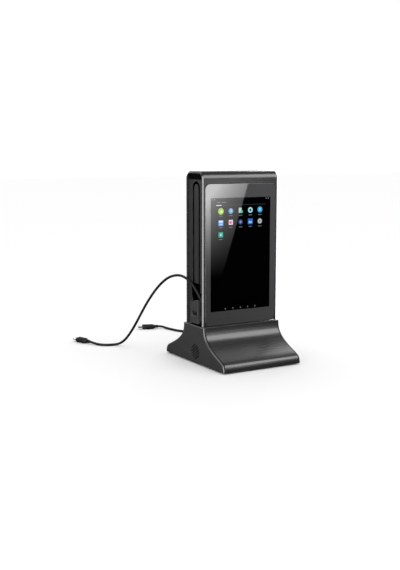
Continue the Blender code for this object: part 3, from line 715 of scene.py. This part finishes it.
def mould_cap():
    """A cap with a rounded rim, a seam behind it and the grille in a shallow oval."""
    shoulder = cap_high[0] - SEAM_WIDE
    rise = shoulder - cap_low[0]
    rings = [across("X", x, cap_outline(drawn))
             for x, drawn in ((cap_high[0], SEAM_DEEP), (shoulder, SEAM_DEEP), (shoulder, 0))]
    for i in range(1, 11):
        angle = math.pi / 2 * i / 10
        rings.append(across("X", shoulder - rise * math.sin(angle),
                            cap_outline(CAP_ROUND * (1 - math.cos(angle)))))
    cap = skin("cap_left", rings)
    oval = [(GRILLE.x + GRILLE_HALF[0] * math.cos(t), GRILLE.y + GRILLE_HALF[1] * math.sin(t))
            for t in (2 * math.pi * i / 64 for i in range(64))]
    carve(cap, tool("X", oval, cap_low[0] - 2, cap_low[0] + DISH), *grille_slits())
    ease(cap, 0.2, 2, 50)
    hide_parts("base_cap_left")
    return cap


cap_left = mould_cap()
cap_right = turned(cap_left, "cap_right", "base_cap_right")
tell(cap_left)

# %% [markdown]
# ## Speakers, feet and floor screws
# Behind the slits sits a small speaker: a basket, a roll and a dark cone, turned in
# one profile. Rubber feet hold the base just off the table, and that gap is what
# makes the thin dark line under it.

# %% Turn the speakers, feet and screws
def turned_profile(name, axis, centre, profile, sides=48):
    return skin(name, [across(axis, x, circle(centre, radius, sides)) for x, radius in profile])


low, high = box_mm("speaker_left")
rim, magnet = (high[2] - low[2]) / 2, 5.2
stations = ((3.2, 0.3), (2.0, 2.2), (2.6, 3.0), (1.2, 7.0), (0.5, 7.8), (0.3, 8.6), (0.9, 9.4), (0, 9.7),
            (0, rim), (1.0, rim), (1.1, 9.6), (6.0, 6.4), (6.1, magnet))
profile = [(low[0] + depth, radius) for depth, radius in stations] + [(high[0], magnet)]
speaker_left = turned_profile("driver_left", "X", tuple(GRILLE), profile)
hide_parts("speaker_left")
speaker_right = turned(speaker_left, "driver_right", "speaker_right")


def make_foot(number):
    """Foot with a rounded rim and a groove round the middle of its sole."""
    sole, top, centre, radius = upright(f"rubber_foot_{number}")
    profile = [(top, radius), (0.45, radius), (0.15, radius - 0.1), (sole, radius - 0.4), (sole, 3.4),
               (0.25, 3.2), (0.25, 2.4), (sole, 2.2), (sole, 0.4)]
    foot = turned_profile(f"foot_{number}", "Z", centre, profile, 40)
    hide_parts(f"rubber_foot_{number}")
    return foot


def make_floor_screw(number):
    """Screw with a cross recess in its head, which faces down."""
    face, top, centre, radius = upright(f"base_screw_{number}")
    profile = [(top, radius), (face + 0.3, radius), (face + 0.05, radius - 0.3),
               (face, radius - 0.7), (face, 0.2)]
    screw = turned_profile(f"floor_screw_{number}", "Z", centre, profile, 32)
    bars = [tool("Z", rounded(centre, half, 0.1, 2), face - 1, face + 0.55)
            for half in ((1.4, 0.28), (0.28, 1.4))]
    carve(screw, *bars)
    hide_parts(f"base_screw_{number}")
    return screw


feet = [make_foot(number) for number in (1, 2, 3, 4)]
floor_screws = [make_floor_screw(number) for number in (1, 2, 3, 4)]
tell(speaker_left, feet[0], floor_screws[0])

# %% [markdown]
# ## Shared patterns for the finishes
# Moulded plastic is never one flat colour. A fine grain breaks up its gloss, faint
# streaks follow the way the tool was polished, and dust settles on what faces up.
# Each pattern is a node group, so every material can place it with its own values.

# %% Node group helpers
def new_group(name, inputs, outputs):
    """An empty shader group with named sockets; returns its tree and its two ends."""
    tree = bpy.data.node_groups.new(name, "ShaderNodeTree")
    for label, kind, value in inputs:
        socket = tree.interface.new_socket(name=label, in_out="INPUT", socket_type=kind)
        if value is not None:
            socket.default_value = value
    for label, kind in outputs:
        tree.interface.new_socket(name=label, in_out="OUTPUT", socket_type=kind)
    return tree, tree.nodes.new("NodeGroupInput"), tree.nodes.new("NodeGroupOutput")


def node(tree, kind, values=(), **settings):
    """A node with its settings and some of its input values set."""
    made = tree.nodes.new(kind)
    for key, value in settings.items():
        setattr(made, key, value)
    for key, value in dict(values).items():
        made.inputs[key].default_value = value
    return made


def link(source, target):
    """Join two sockets of one tree."""
    target.id_data.links.new(source, target)


def maths(tree, operation, first, second=None, clamp=False):
    """A Math node fed by sockets or numbers; returns its output."""
    made = node(tree, "ShaderNodeMath", operation=operation, use_clamp=clamp)
    for i, value in enumerate((first, second)):
        if hasattr(value, "is_linked"):
            link(value, made.inputs[i])
        elif value is not None:
            made.inputs[i].default_value = value
    return made.outputs[0]


FLOAT, VECTOR, COLOUR = "NodeSocketFloat", "NodeSocketVector", "NodeSocketColor"

# %% [markdown]
# ## Grain, streaks, dust and wear
# Grain and streaks are noise at two scales, one even and one drawn out along a
# direction. Dust is noise where the surface faces up, and wear is noise where the
# mesh is sharply convex. Noise in three dimensions needs no unwrapping.

# %% Build the four patterns
grain_group, start, end = new_group("mould_grain",
    (("Vector", VECTOR, None), ("Size", FLOAT, 1400.0), ("Blotch", FLOAT, 60.0)),
    (("Height", FLOAT), ("Tone", FLOAT)))
fine = node(grain_group, "ShaderNodeTexNoise", {"Detail": 3.0, "Roughness": 0.6})
broad = node(grain_group, "ShaderNodeTexNoise", {"Detail": 4.0, "Roughness": 0.55})
for texture, size in ((fine, "Size"), (broad, "Blotch")):
    link(start.outputs["Vector"], texture.inputs["Vector"])
    link(start.outputs[size], texture.inputs["Scale"])
link(fine.outputs["Fac"], end.inputs["Height"])
link(broad.outputs["Fac"], end.inputs["Tone"])

streak_group, start, end = new_group("tool_streaks",
    (("Vector", VECTOR, None), ("Stretch", VECTOR, (6.0, 900.0, 900.0))), (("Streak", FLOAT),))
scaled = node(streak_group, "ShaderNodeVectorMath", operation="MULTIPLY")
lines = node(streak_group, "ShaderNodeTexNoise", {"Scale": 1.0, "Detail": 3.0, "Roughness": 0.7})
link(start.outputs["Vector"], scaled.inputs[0])
link(start.outputs["Stretch"], scaled.inputs[1])
link(scaled.outputs[0], lines.inputs["Vector"])
link(lines.outputs["Fac"], end.inputs["Streak"])

dust_group, start, end = new_group("settled_dust",
    (("Vector", VECTOR, None), ("Amount", FLOAT, 0.1)), (("Mask", FLOAT),))
facing = node(dust_group, "ShaderNodeNewGeometry")
split = node(dust_group, "ShaderNodeSeparateXYZ")
specks = node(dust_group, "ShaderNodeTexNoise", {"Scale": 350.0, "Detail": 5.0, "Roughness": 0.7})
link(facing.outputs["Normal"], split.inputs[0])
link(start.outputs["Vector"], specks.inputs["Vector"])
up = maths(dust_group, "POWER", maths(dust_group, "MAXIMUM", split.outputs["Z"], 0.0), 2.0)
patchy = maths(dust_group, "MULTIPLY", up, specks.outputs["Fac"])
link(maths(dust_group, "MULTIPLY", patchy, start.outputs["Amount"], True), end.inputs["Mask"])

wear_group, start, end = new_group("edge_wear",
    (("Vector", VECTOR, None), ("Amount", FLOAT, 0.5)), (("Mask", FLOAT),))
shape = node(wear_group, "ShaderNodeNewGeometry")
chips = node(wear_group, "ShaderNodeTexNoise", {"Scale": 220.0, "Detail": 4.0, "Roughness": 0.65})
link(start.outputs["Vector"], chips.inputs["Vector"])
sharp = node(wear_group, "ShaderNodeMapRange", {"From Min": 0.52, "From Max": 0.62})
link(shape.outputs["Pointiness"], sharp.inputs["Value"])
worn = maths(wear_group, "MULTIPLY", sharp.outputs[0], chips.outputs["Fac"])
link(maths(wear_group, "MULTIPLY", worn, start.outputs["Amount"], True), end.inputs["Mask"])
print("shared patterns:", [group.name for group in bpy.data.node_groups])

# %% [markdown]
# ## One recipe for solid finishes
# Most of the kiosk's finishes differ only in colour, gloss and how much of each
# pattern they show. A function lays out the same chain for all of them: colour with
# tone and wear, roughness with grain, and a bump from the grain.

# %% Build the solid finishes
def place(tree, group, **values):
    """A shared pattern in a material, with its own values."""
    made = tree.nodes.new("ShaderNodeGroup")
    made.node_tree = group
    for key, value in values.items():
        made.inputs[key].default_value = value
    return made


def blend(tree, factor, first, second):
    """A colour mix; colours may be sockets or triples."""
    made = node(tree, "ShaderNodeMix", data_type="RGBA")
    for socket, value in ((made.inputs[0], factor), (made.inputs[6], first), (made.inputs[7], second)):
        if hasattr(value, "is_linked"):
            link(value, socket)
        elif isinstance(value, (int, float)):
            socket.default_value = value
        else:
            socket.default_value = (*value, 1)
    return made.outputs[2]


def new_material(name):
    material = bpy.data.materials.new(name)
    material.use_nodes = True
    tree = material.node_tree
    shader = tree.nodes["Principled BSDF"]
    where = node(tree, "ShaderNodeTexCoord").outputs["Object"]
    return material, tree, shader, where


DUST = (0.42, 0.41, 0.39)


def finish(name, colour, rough, metal=0.0, grain=1400.0, bump=0.02, tone=0.15, streak=0.0,
           stretch=(6.0, 900.0, 900.0), wear=0.3, dust=0.05, spread=0.08, coat=0.0, specular=0.5):
    """A solid finish: colour, gloss and how much of each pattern it shows."""
    material, tree, shader, where = new_material(name)
    moulded = place(tree, grain_group, Size=grain)
    worn = place(tree, wear_group, Amount=wear)
    dusty = place(tree, dust_group, Amount=dust)
    for group in (moulded, worn, dusty):
        link(where, group.inputs["Vector"])
    darker = tuple(c * (1 - tone) for c in colour)
    lighter = tuple(min(1, c * (1 + tone)) for c in colour)
    base = blend(tree, moulded.outputs["Tone"], darker, lighter)
    rough_from = moulded.outputs["Tone"]
    if streak:
        lined = place(tree, streak_group, Stretch=stretch)
        link(where, lined.inputs["Vector"])
        amount = maths(tree, "MULTIPLY", lined.outputs["Streak"], streak)
        base = blend(tree, amount, base, tuple(min(1, c * 1.9 + 0.02) for c in colour))
        rough_from = lined.outputs["Streak"]
    base = blend(tree, worn.outputs["Mask"], base, tuple(min(1, c * 2.2 + 0.03) for c in colour))
    base = blend(tree, dusty.outputs["Mask"], base, DUST)
    link(base, shader.inputs["Base Color"])
    roughness = node(tree, "ShaderNodeMapRange", {"To Min": rough - spread, "To Max": rough + spread})
    link(rough_from, roughness.inputs["Value"])
    link(roughness.outputs[0], shader.inputs["Roughness"])
    relief = node(tree, "ShaderNodeBump", {"Strength": 0.35, "Distance": bump * MM})
    link(moulded.outputs["Height"], relief.inputs["Height"])
    link(relief.outputs[0], shader.inputs["Normal"])
    shader.inputs["Metallic"].default_value = metal
    shader.inputs["Coat Weight"].default_value = coat
    shader.inputs["Specular IOR Level"].default_value = specular
    return material


charcoal = finish("charcoal_satin", (0.026, 0.026, 0.027), 0.27, streak=0.15, tone=0.1)
charcoal_side = finish("charcoal_cover", (0.031, 0.031, 0.032), 0.4, tone=0.12)
# The caps and port blocks are the same charcoal plastic as the shell; their lighter colour is painted light,
# in place of light that their sides catch.
charcoal_cap_painted_lit = finish("charcoal_cap_painted_lit", (0.058, 0.058, 0.06), 0.36, tone=0.1, streak=0.15)
# Painted shade: a near-black finish for the hollows of the side cover, standing in for the shade inside the
# deep channel and pocket.
channel_shade_black = finish("channel_painted_shade", (0.002, 0.002, 0.002), 0.7,
                       tone=0.2, dust=0.0, wear=0.0, specular=0.0)
piano = finish("piano_black", (0.004, 0.004, 0.005), 0.08, bump=0.002, spread=0.03, tone=0.2, dust=0.02)
matt_black = finish("matt_black", (0.012, 0.012, 0.013), 0.58, bump=0.04)
cord_black = finish("lead_rubber", (0.006, 0.006, 0.007), 0.6,
                    grain=2200.0, bump=0.015, dust=0.0, specular=0.2)
foot_rubber = finish("foot_rubber", (0.012, 0.012, 0.012), 0.75, bump=0.05, dust=0.15)
plated = finish("plated_steel", (0.62, 0.62, 0.63), 0.24, metal=1.0, streak=0.3, wear=0.1, bump=0.004)
sheet_steel = finish("zinc_sheet", (0.5, 0.51, 0.53), 0.4, metal=1.0, tone=0.25, wear=0.1)
cast_weight = finish("cast_weight", (0.2, 0.2, 0.21), 0.55, metal=1.0, tone=0.3, bump=0.1, grain=500.0)
turned_brass = finish("turned_brass", (0.72, 0.52, 0.22), 0.25, metal=1.0, wear=0.1)
solder_mask = finish("solder_mask", (0.012, 0.1, 0.045), 0.35, tone=0.3, coat=0.4)
pouch_foil = finish("pouch_foil", (0.45, 0.47, 0.5), 0.33, metal=0.8, tone=0.15, bump=0.08, grain=300.0)
amber_film = finish("amber_film", (0.45, 0.19, 0.03), 0.25, coat=0.5)
# Painted shade: the socket's steel is much darker than bare steel, so that its mouth looks like a deep,
# shaded hole.
socket_nickel_painted_shade = finish("socket_nickel_painted_shade", (0.1, 0.1, 0.105), 0.5, metal=1.0, wear=0.1)
contact_black = finish("socket_black", (0.012, 0.012, 0.013), 0.5)
driver_paper = finish("driver_cone", (0.02, 0.02, 0.021), 0.7, bump=0.06, grain=900.0)
print("driver_cone has", len(driver_paper.node_tree.nodes), "nodes, as every plain finish has")

# %% [markdown]
# ## The display
# The lit area shows a plain home screen: rows of small round and square marks, a tab
# line and a row of dots. They carry no words and no real symbols. Each mark is a soft
# rounded rectangle, worked out from its distance to the mark's middle, so one small
# group draws all of them.

# %% A group that draws one mark
mark_group, start, end = new_group("screen_mark",
    (("Vector", VECTOR, None), ("Middle", VECTOR, None), ("Half", VECTOR, None), ("Corner", FLOAT, 1.0)),
    (("Mask", FLOAT),))
offset = node(mark_group, "ShaderNodeVectorMath", operation="SUBTRACT")
size = node(mark_group, "ShaderNodeVectorMath", operation="ABSOLUTE")
beyond = node(mark_group, "ShaderNodeVectorMath", operation="SUBTRACT")
outside = node(mark_group, "ShaderNodeVectorMath", {1: (0, 0, 0)}, operation="MAXIMUM")
flat = node(mark_group, "ShaderNodeVectorMath", {1: (1, 0, 1)}, operation="MULTIPLY")
reach = node(mark_group, "ShaderNodeVectorMath", operation="LENGTH")
link(start.outputs["Vector"], offset.inputs[0])
link(start.outputs["Middle"], offset.inputs[1])
link(offset.outputs[0], size.inputs[0])
link(size.outputs[0], beyond.inputs[0])
link(start.outputs["Half"], beyond.inputs[1])
link(beyond.outputs[0], outside.inputs[0])
link(outside.outputs[0], flat.inputs[0])
link(flat.outputs[0], reach.inputs[0])
edge = maths(mark_group, "SUBTRACT", reach.outputs["Value"], start.outputs["Corner"])
soft = node(mark_group, "ShaderNodeMapRange", {"From Min": 0.12, "From Max": -0.12})
link(edge, soft.inputs["Value"])
link(soft.outputs[0], end.inputs["Mask"])

# %% [markdown]
# ## The marks on the screen
# The marks are listed in millimetres on the pane's face, from the bottom layer up,
# because a later one covers an earlier one. An image would be simpler, but drawn
# marks stay sharp at any distance.

# %% List the marks
LIT_X, LIT_LOW, LIT_HIGH = 47.1, 71.7, 222.4
COLUMNS = (-31.5, -16.0, -0.7, 14.8, 30.2)
ROWS = (204.9, 189.5, 174.0)
WHITE, GREY = (0.8, 0.82, 0.84), (0.25, 0.26, 0.27)
marks = []


def mark(x, z, half_x, half_z, corner, colour):
    """Note one mark: its middle, half sizes and corner in millimetres, and its colour."""
    marks.append((x, z, half_x, half_z, corner, colour))


# Column and row of each icon, then its layers from the bottom up: offset, size, colour.
# A size is a half width, a half height and a corner, or one radius for a disc.
ICONS = (
    (0, 0, (0, 0, (4.3,), (0.36, 0.6, 0.08)), (0.9, -0.5, (1.6,), (0.75, 0.95, 0.35))),
    (1, 0, (0, 0, (3.7,), (0.16, 0.36, 0.55)), (0.3, 0.4, (0.9, 2.4, 0.8), (0.4, 0.62, 0.8))),
    (2, 0, (-0.7, 0.5, (2.3, 3.4, 0.3), (0.5, 0.6, 0.6)), (1.6, -1.4, (1.9,), (0.05, 0.6, 0.4))),
    (3, 0, (0, 0.4, (3.7,), (0.35, 0.75, 0.78)), (0, 0.4, (3.7 * 0.45,), (0.01, 0.02, 0.03))),
    (4, 0, (0, 0.6, (3.9,), (0.05, 0.4, 0.75)), (0, 1.0, (0.7, 1.9, 0.5), (0.45, 0.8, 0.95))),
    (0, 1, (0, 0, (3.8, 3.8, 0.5), (0.12, 0.28, 0.75)), (0, 1.9, (3.0, 1.2, 0.3), (0.7, 0.8, 0.95)),
     (0, -1.6, (2.4, 1.0, 0.3), (0.4, 0.6, 0.92))),
    (1, 1, (0, 0.4, (3.3, 3.3, 0.5), (0.75, 0.6, 0.68)), (-0.4, 0.2, (1.7, 1.5, 0.5), (0.62, 0.08, 0.25))),
    (2, 1, (0, 0.4, (3.4,), (0.04, 0.07, 0.2)), (0, 0.4, (3.4 * 0.45,), (0.25, 0.3, 0.6))),
    (3, 1, (0, 0.6, (3.8, 3.8, 0.5), (0.03, 0.13, 0.5)), (0, -0.3, (2.8, 1.4, 0.8), (0.25, 0.5, 0.9))),
    (4, 1, (0, 0.5, (3.4,), (0.45, 0.48, 0.5)), (0, 0.5, (1.1,), (0.1, 0.11, 0.12))),
    (0, 2, (0, 0, (3.5, 3.5, 0.5), (0.03, 0.35, 0.28)), (0, 0, (1.5, 1.5, 0.6), (0.3, 0.75, 0.62))),
)
for column, row, *layers in ICONS:
    for right, up, size, colour in layers:
        mark(COLUMNS[column] + right, ROWS[row] + up, *(size if len(size) > 1 else size * 3), colour)
for row, columns in zip(ROWS, (COLUMNS, COLUMNS, COLUMNS[:1])):
    for x in columns:
        mark(x, row - 6.2, 2.7, 0.28, 0.25, GREY)
mark(0, 212.7, 39, 0.12, 0.1, (0.09, 0.1, 0.1))
mark(-34.7, 212.8, 4.2, 0.45, 0.3, WHITE)
mark(-34.8, 216.6, 2.4, 0.35, 0.3, GREY)
mark(-26.6, 216.6, 3.4, 0.35, 0.3, GREY)
for x in (-45.2, -41.5, 40.4, 43.6):
    mark(x, 220.4, 0.75, 0.75, 0.75, GREY)
for x in (-24.0, -12.0, 0.0, 11.6, 23.4):
    mark(x, 74.6, 0.8, 0.8, 0.8, (0.2, 0.2, 0.2))
print(len(marks), "marks on the screen")


# %% [markdown]
# ## The printed pane
# Real cover glass is printed on its back: a grey border, and nothing over the lit
# area. Here one finish carries both, with a clear coat on the border, and the marks
# shine from the same surface, so no glass has to be looked through. The border's grey
# is also painted lighter towards the top right: a painted sheen, in place of light
# reflected in the glass.

# %% Paint the pane
# The first grey is the printed border; the second is the painted sheen at its top right.
BORDER_TO_SHEEN, BORDER_STREAK = ((0.05, 0.05, 0.052), (0.095, 0.095, 0.099)), (0.16, 0.16, 0.165)
OFF_BLACK = (0.0008, 0.0008, 0.001)
SHEEN_SIDE_SHARE = 0.4


def paint_pane():
    """Printed border with a painted sheen that lightens it towards its top right, and a dark lit area with
    its marks.
    """
    material, tree, shader, where = new_material("printed_pane")
    scaled = node(tree, "ShaderNodeVectorMath", {1: (1 / MM, 1 / MM, 1 / MM)}, operation="MULTIPLY")
    link(where, scaled.inputs[0])

    def mask(x, z, half_x, half_z, corner):
        spot = place(tree, mark_group, Middle=(x, 0, z),
                     Half=(half_x - corner, 0, half_z - corner), Corner=corner)
        link(scaled.outputs[0], spot.inputs["Vector"])
        return spot.outputs["Mask"]

    lined = place(tree, streak_group, Stretch=(6.0, 900.0, 1400.0))
    link(where, lined.inputs["Vector"])
    lit = mask(0, (LIT_LOW + LIT_HIGH) / 2, LIT_X, (LIT_HIGH - LIT_LOW) / 2, 0.15)
    # Painted sheen: the border's grey is mixed lighter towards the right and the top, in place of light
    # reflected in the glass.
    split = node(tree, "ShaderNodeSeparateXYZ")
    link(scaled.outputs[0], split.inputs[0])
    across_pane = maths(tree, "ADD", split.outputs["X"], PANE_X)
    sideways = maths(tree, "MULTIPLY", across_pane, SHEEN_SIDE_SHARE / (2 * PANE_X))
    up_pane = maths(tree, "SUBTRACT", split.outputs["Z"], PANE_LOW)
    upward = maths(tree, "MULTIPLY", up_pane, (1 - SHEEN_SIDE_SHARE) / (PANE_HIGH - PANE_LOW))
    border = blend(tree, maths(tree, "ADD", sideways, upward), *BORDER_TO_SHEEN)
    border = blend(tree, maths(tree, "MULTIPLY", lined.outputs["Streak"], 0.15), border, BORDER_STREAK)
    link(blend(tree, lit, border, OFF_BLACK), shader.inputs["Base Color"])
    link(maths(tree, "SUBTRACT", 1.0, lit), shader.inputs["Coat Weight"])
    glow = (0, 0, 0)
    for x, z, half_x, half_z, corner, colour in marks:
        glow = blend(tree, mask(x, z, half_x, half_z, corner), glow, colour)
    link(glow, shader.inputs["Emission Color"])
    shader.inputs["Emission Strength"].default_value = 1.0
    smudge = place(tree, grain_group, Size=90.0, Blotch=25.0)
    link(where, smudge.inputs["Vector"])
    gloss = node(tree, "ShaderNodeMapRange", {"To Min": 0.008, "To Max": 0.03})
    link(smudge.outputs["Height"], gloss.inputs["Value"])
    link(gloss.outputs[0], shader.inputs["Roughness"])
    return material


pane_finish = paint_pane()
print("the pane's finish has", len(pane_finish.node_tree.nodes), "nodes")

# %% [markdown]
# ## Hand out the finishes
# Each new piece gets one finish. The side cover has two: the walls of its channel
# and its other hollows are painted nearly black, a painted shade for the dark that
# falls in the deep channel. The pieces inside the tower come from the frame and only change finish.

# %% Give every piece its finish
def dress(material, slot_name, *pieces):
    """Give pieces one finish. The slot name is not used."""
    for piece in pieces:
        piece.data.materials.clear()
        piece.data.materials.append(material)


nodes = frame["nodes"]
PAINTED_SHADE_DEPTH = 0.8
dress(charcoal, "charcoal_plastic", shell, sweep_front, sweep_rear)
dress(charcoal_cap_painted_lit, "charcoal_plastic", block_left, block_right, cap_left, cap_right)
dress(charcoal_side, "charcoal_plastic", cover_left, cover_right)
# Every face more than 0.8 mm below the cover's face gets the near-black finish: painted shade in the channel,
# the pocket and the other hollows.
cover_left.data.materials.append(channel_shade_black)
for face in cover_left.data.polygons:
    face.material_index = int(face.center.x > (COVER_FACE + PAINTED_SHADE_DEPTH) * MM)
dress(piano, "gloss_black", insert_left, insert_right)
dress(pane_finish, "printed_glass", pane_front, pane_rear)
dress(cord_black, "rubber", lead_left, lead_right, plugs["left"][0], plugs["right"][0], *reliefs)
dress(plated, "steel", plugs["left"][1], plugs["right"][1], inlet, *floor_screws)
dress(socket_nickel_painted_shade, "steel", socket_left, socket_right)
dress(contact_black, "contact_black", tongue_left, tongue_right)
dress(matt_black, "black_plastic", *keys)
dress(driver_paper, "black_plastic", speaker_left, speaker_right)
dress(foot_rubber, "rubber", *feet)
CARRIED = (
    (matt_black, ("bond_tape_front", "bond_tape_rear", "battery_frame", "base_plate")),
    (piano, ("display_front", "display_rear")),
    (amber_film, ("display_flex_front", "display_flex_rear")),
    (sheet_steel, ("chassis_plate",)),
    (cast_weight, ("ballast_weight",)),
    (pouch_foil, ("battery_cell_left", "battery_cell_right")),
    (solder_mask, ("main_board", "charge_board", "key_board", "wifi_antenna")),
    (turned_brass, tuple(f"board_spacer_{number}" for number in (1, 2, 3, 4))),
)
for material, names in CARRIED:
    dress(material, None, *[nodes[name] for name in names])
print(sum(len(names) for _, names in CARRIED), "pieces of the frame keep their shape")

# %% [markdown]
# ## Floor and sky
# The kiosk stands on white paper under a white sky, which gives a soft contact
# shadow. The sky is hidden from reflections: dark satin plastic shows what it
# reflects more than what lights it, and an all-white room would turn it grey.

# %% Lay the floor and hang the sky
floor_mesh = bpy.data.meshes.new("floor")
floor_mesh.from_pydata([(-8, -8, 0), (8, -8, 0), (8, 8, 0), (-8, 8, 0)], [], [(0, 1, 2, 3)])
floor = bpy.data.objects.new("floor", floor_mesh)
HERE.collection.objects.link(floor)
paper, _, shader, _ = new_material("white_paper")
shader.inputs["Base Color"].default_value = (0.9, 0.9, 0.9, 1)
shader.inputs["Roughness"].default_value = 0.9
shader.inputs["Specular IOR Level"].default_value = 0.1
floor_mesh.materials.append(paper)
floor.visible_diffuse = floor.visible_glossy = floor.visible_shadow = False

world = bpy.data.worlds.new("studio")
world.use_nodes = True
sky = world.node_tree
background = sky.nodes["Background"]
background.inputs["Color"].default_value = (1, 1, 1, 1)
direction = node(sky, "ShaderNodeTexCoord")
split = node(sky, "ShaderNodeSeparateXYZ")
link(direction.outputs["Generated"], split.inputs[0])
ramp = node(sky, "ShaderNodeMapRange", {"From Min": -0.6, "From Max": 0.25, "To Min": 0.25, "To Max": 1.15})
link(split.outputs["Z"], ramp.inputs["Value"])
path = node(sky, "ShaderNodeLightPath")
level = maths(sky, "MAXIMUM", ramp.outputs[0], maths(sky, "MULTIPLY", path.outputs["Is Camera Ray"], 1.2))
link(level, background.inputs["Strength"])
world.cycles_visibility.glossy = False
world.cycles.sampling_method = "NONE"
HERE.world = world
HERE.view_settings.view_transform = "Standard"
print("floor and sky are in place")

# %% [markdown]
# ## Boards off camera
# What the plastic mirrors comes from boards: one over the front right draws the bands
# on the flare and the top, a tall one on the left draws the bright edge, and a sheer
# one in front is mirrored in the glass. Weaker boards behind do the same for the
# back. A black card under the floor darkens the foot.

# %% Set the boards
def board(name, corners, paint, seen_by=("glossy",)):
    """A board off camera that the kiosk reflects; paint() returns its surface shader."""
    mesh = bpy.data.meshes.new(name)
    mesh.from_pydata([Vector(corner) * MM for corner in corners], [], [tuple(range(len(corners)))])
    holder = bpy.data.objects.new(name, mesh)
    HERE.collection.objects.link(holder)
    material = bpy.data.materials.new(name)
    material.use_nodes = True
    tree = material.node_tree
    tree.nodes.clear()
    out = node(tree, "ShaderNodeOutputMaterial")
    link(paint(tree), out.inputs["Surface"])
    mesh.materials.append(material)
    for ray in ("camera", "diffuse", "glossy", "transmission", "volume_scatter", "shadow"):
        setattr(holder, f"visible_{ray}", ray in seen_by)


def even_glow(strength):
    """The same brightness all over a board."""
    def paint(tree):
        return node(tree, "ShaderNodeEmission", {"Color": (1, 1, 1, 1), "Strength": strength}).outputs[0]
    return paint


def fading_glow(strength, foot, rise, power, side, rate):
    """Brightness that grows with height above a foot and fades sideways."""
    def paint(tree):
        where = node(tree, "ShaderNodeTexCoord")
        split = node(tree, "ShaderNodeSeparateXYZ")
        link(where.outputs["Object"], split.inputs[0])
        height = maths(tree, "MULTIPLY_ADD", split.outputs["Z"], 1 / (rise * MM))
        height.node.inputs[2].default_value = -foot / rise
        grown = maths(tree, "POWER", maths(tree, "MAXIMUM", height, 0.0), power)
        along_x = maths(tree, "SUBTRACT", side * MM, split.outputs["X"])
        faded = maths(tree, "EXPONENT", maths(tree, "MULTIPLY", along_x, rate / MM))
        level = maths(tree, "MULTIPLY", maths(tree, "MULTIPLY", grown, faded), strength)
        glow = node(tree, "ShaderNodeEmission", {"Color": (1, 1, 1, 1)})
        link(maths(tree, "MINIMUM", level, 1.25 * strength), glow.inputs["Strength"])
        return glow.outputs[0]
    return paint


def black_card(tree):
    return node(tree, "ShaderNodeBsdfDiffuse", {"Color": (0.01, 0.01, 0.01, 1)}).outputs[0]


card = [(x, y, -1) for x, y in rounded((0, 0), (150, 165), 60)]
board("foot_card", card, black_card, ("diffuse", "shadow"))


def turned_corners(corners):
    return [(-x, -y, z) for x, y, z in corners]


TWIN_SHARE = 0.6
BOARDS = {
    "front_board": (((322, -952, 450), (952, -445, 450), (781, -343, 1100), (200, -783, 1100)), 6.9),
    "edge_board": (((-420, -520, -160), (-700, -140, -160), (-700, -140, 620), (-420, -520, 620)), 10.5),
    "back_board": (((-400, 980, 150), (900, 900, 150), (900, 900, 700), (-400, 980, 700)), 1.2),
}
for name, (corners, strength) in BOARDS.items():
    board(name, corners, even_glow(strength))
    if name != "back_board":
        board(name + "_twin", turned_corners(corners), even_glow(strength * TWIN_SHARE))
SHEER = ((285, -622, 20), (342, -622, 20), (409, -622, 222), (420, -622, 260), (285, -622, 260))
board("gloss_board", SHEER, fading_glow(strength=5.0, foot=7.6, rise=173.2, power=2.1, side=321, rate=0.0135))
print("boards:", ", ".join(BOARDS), "and a sheer one")
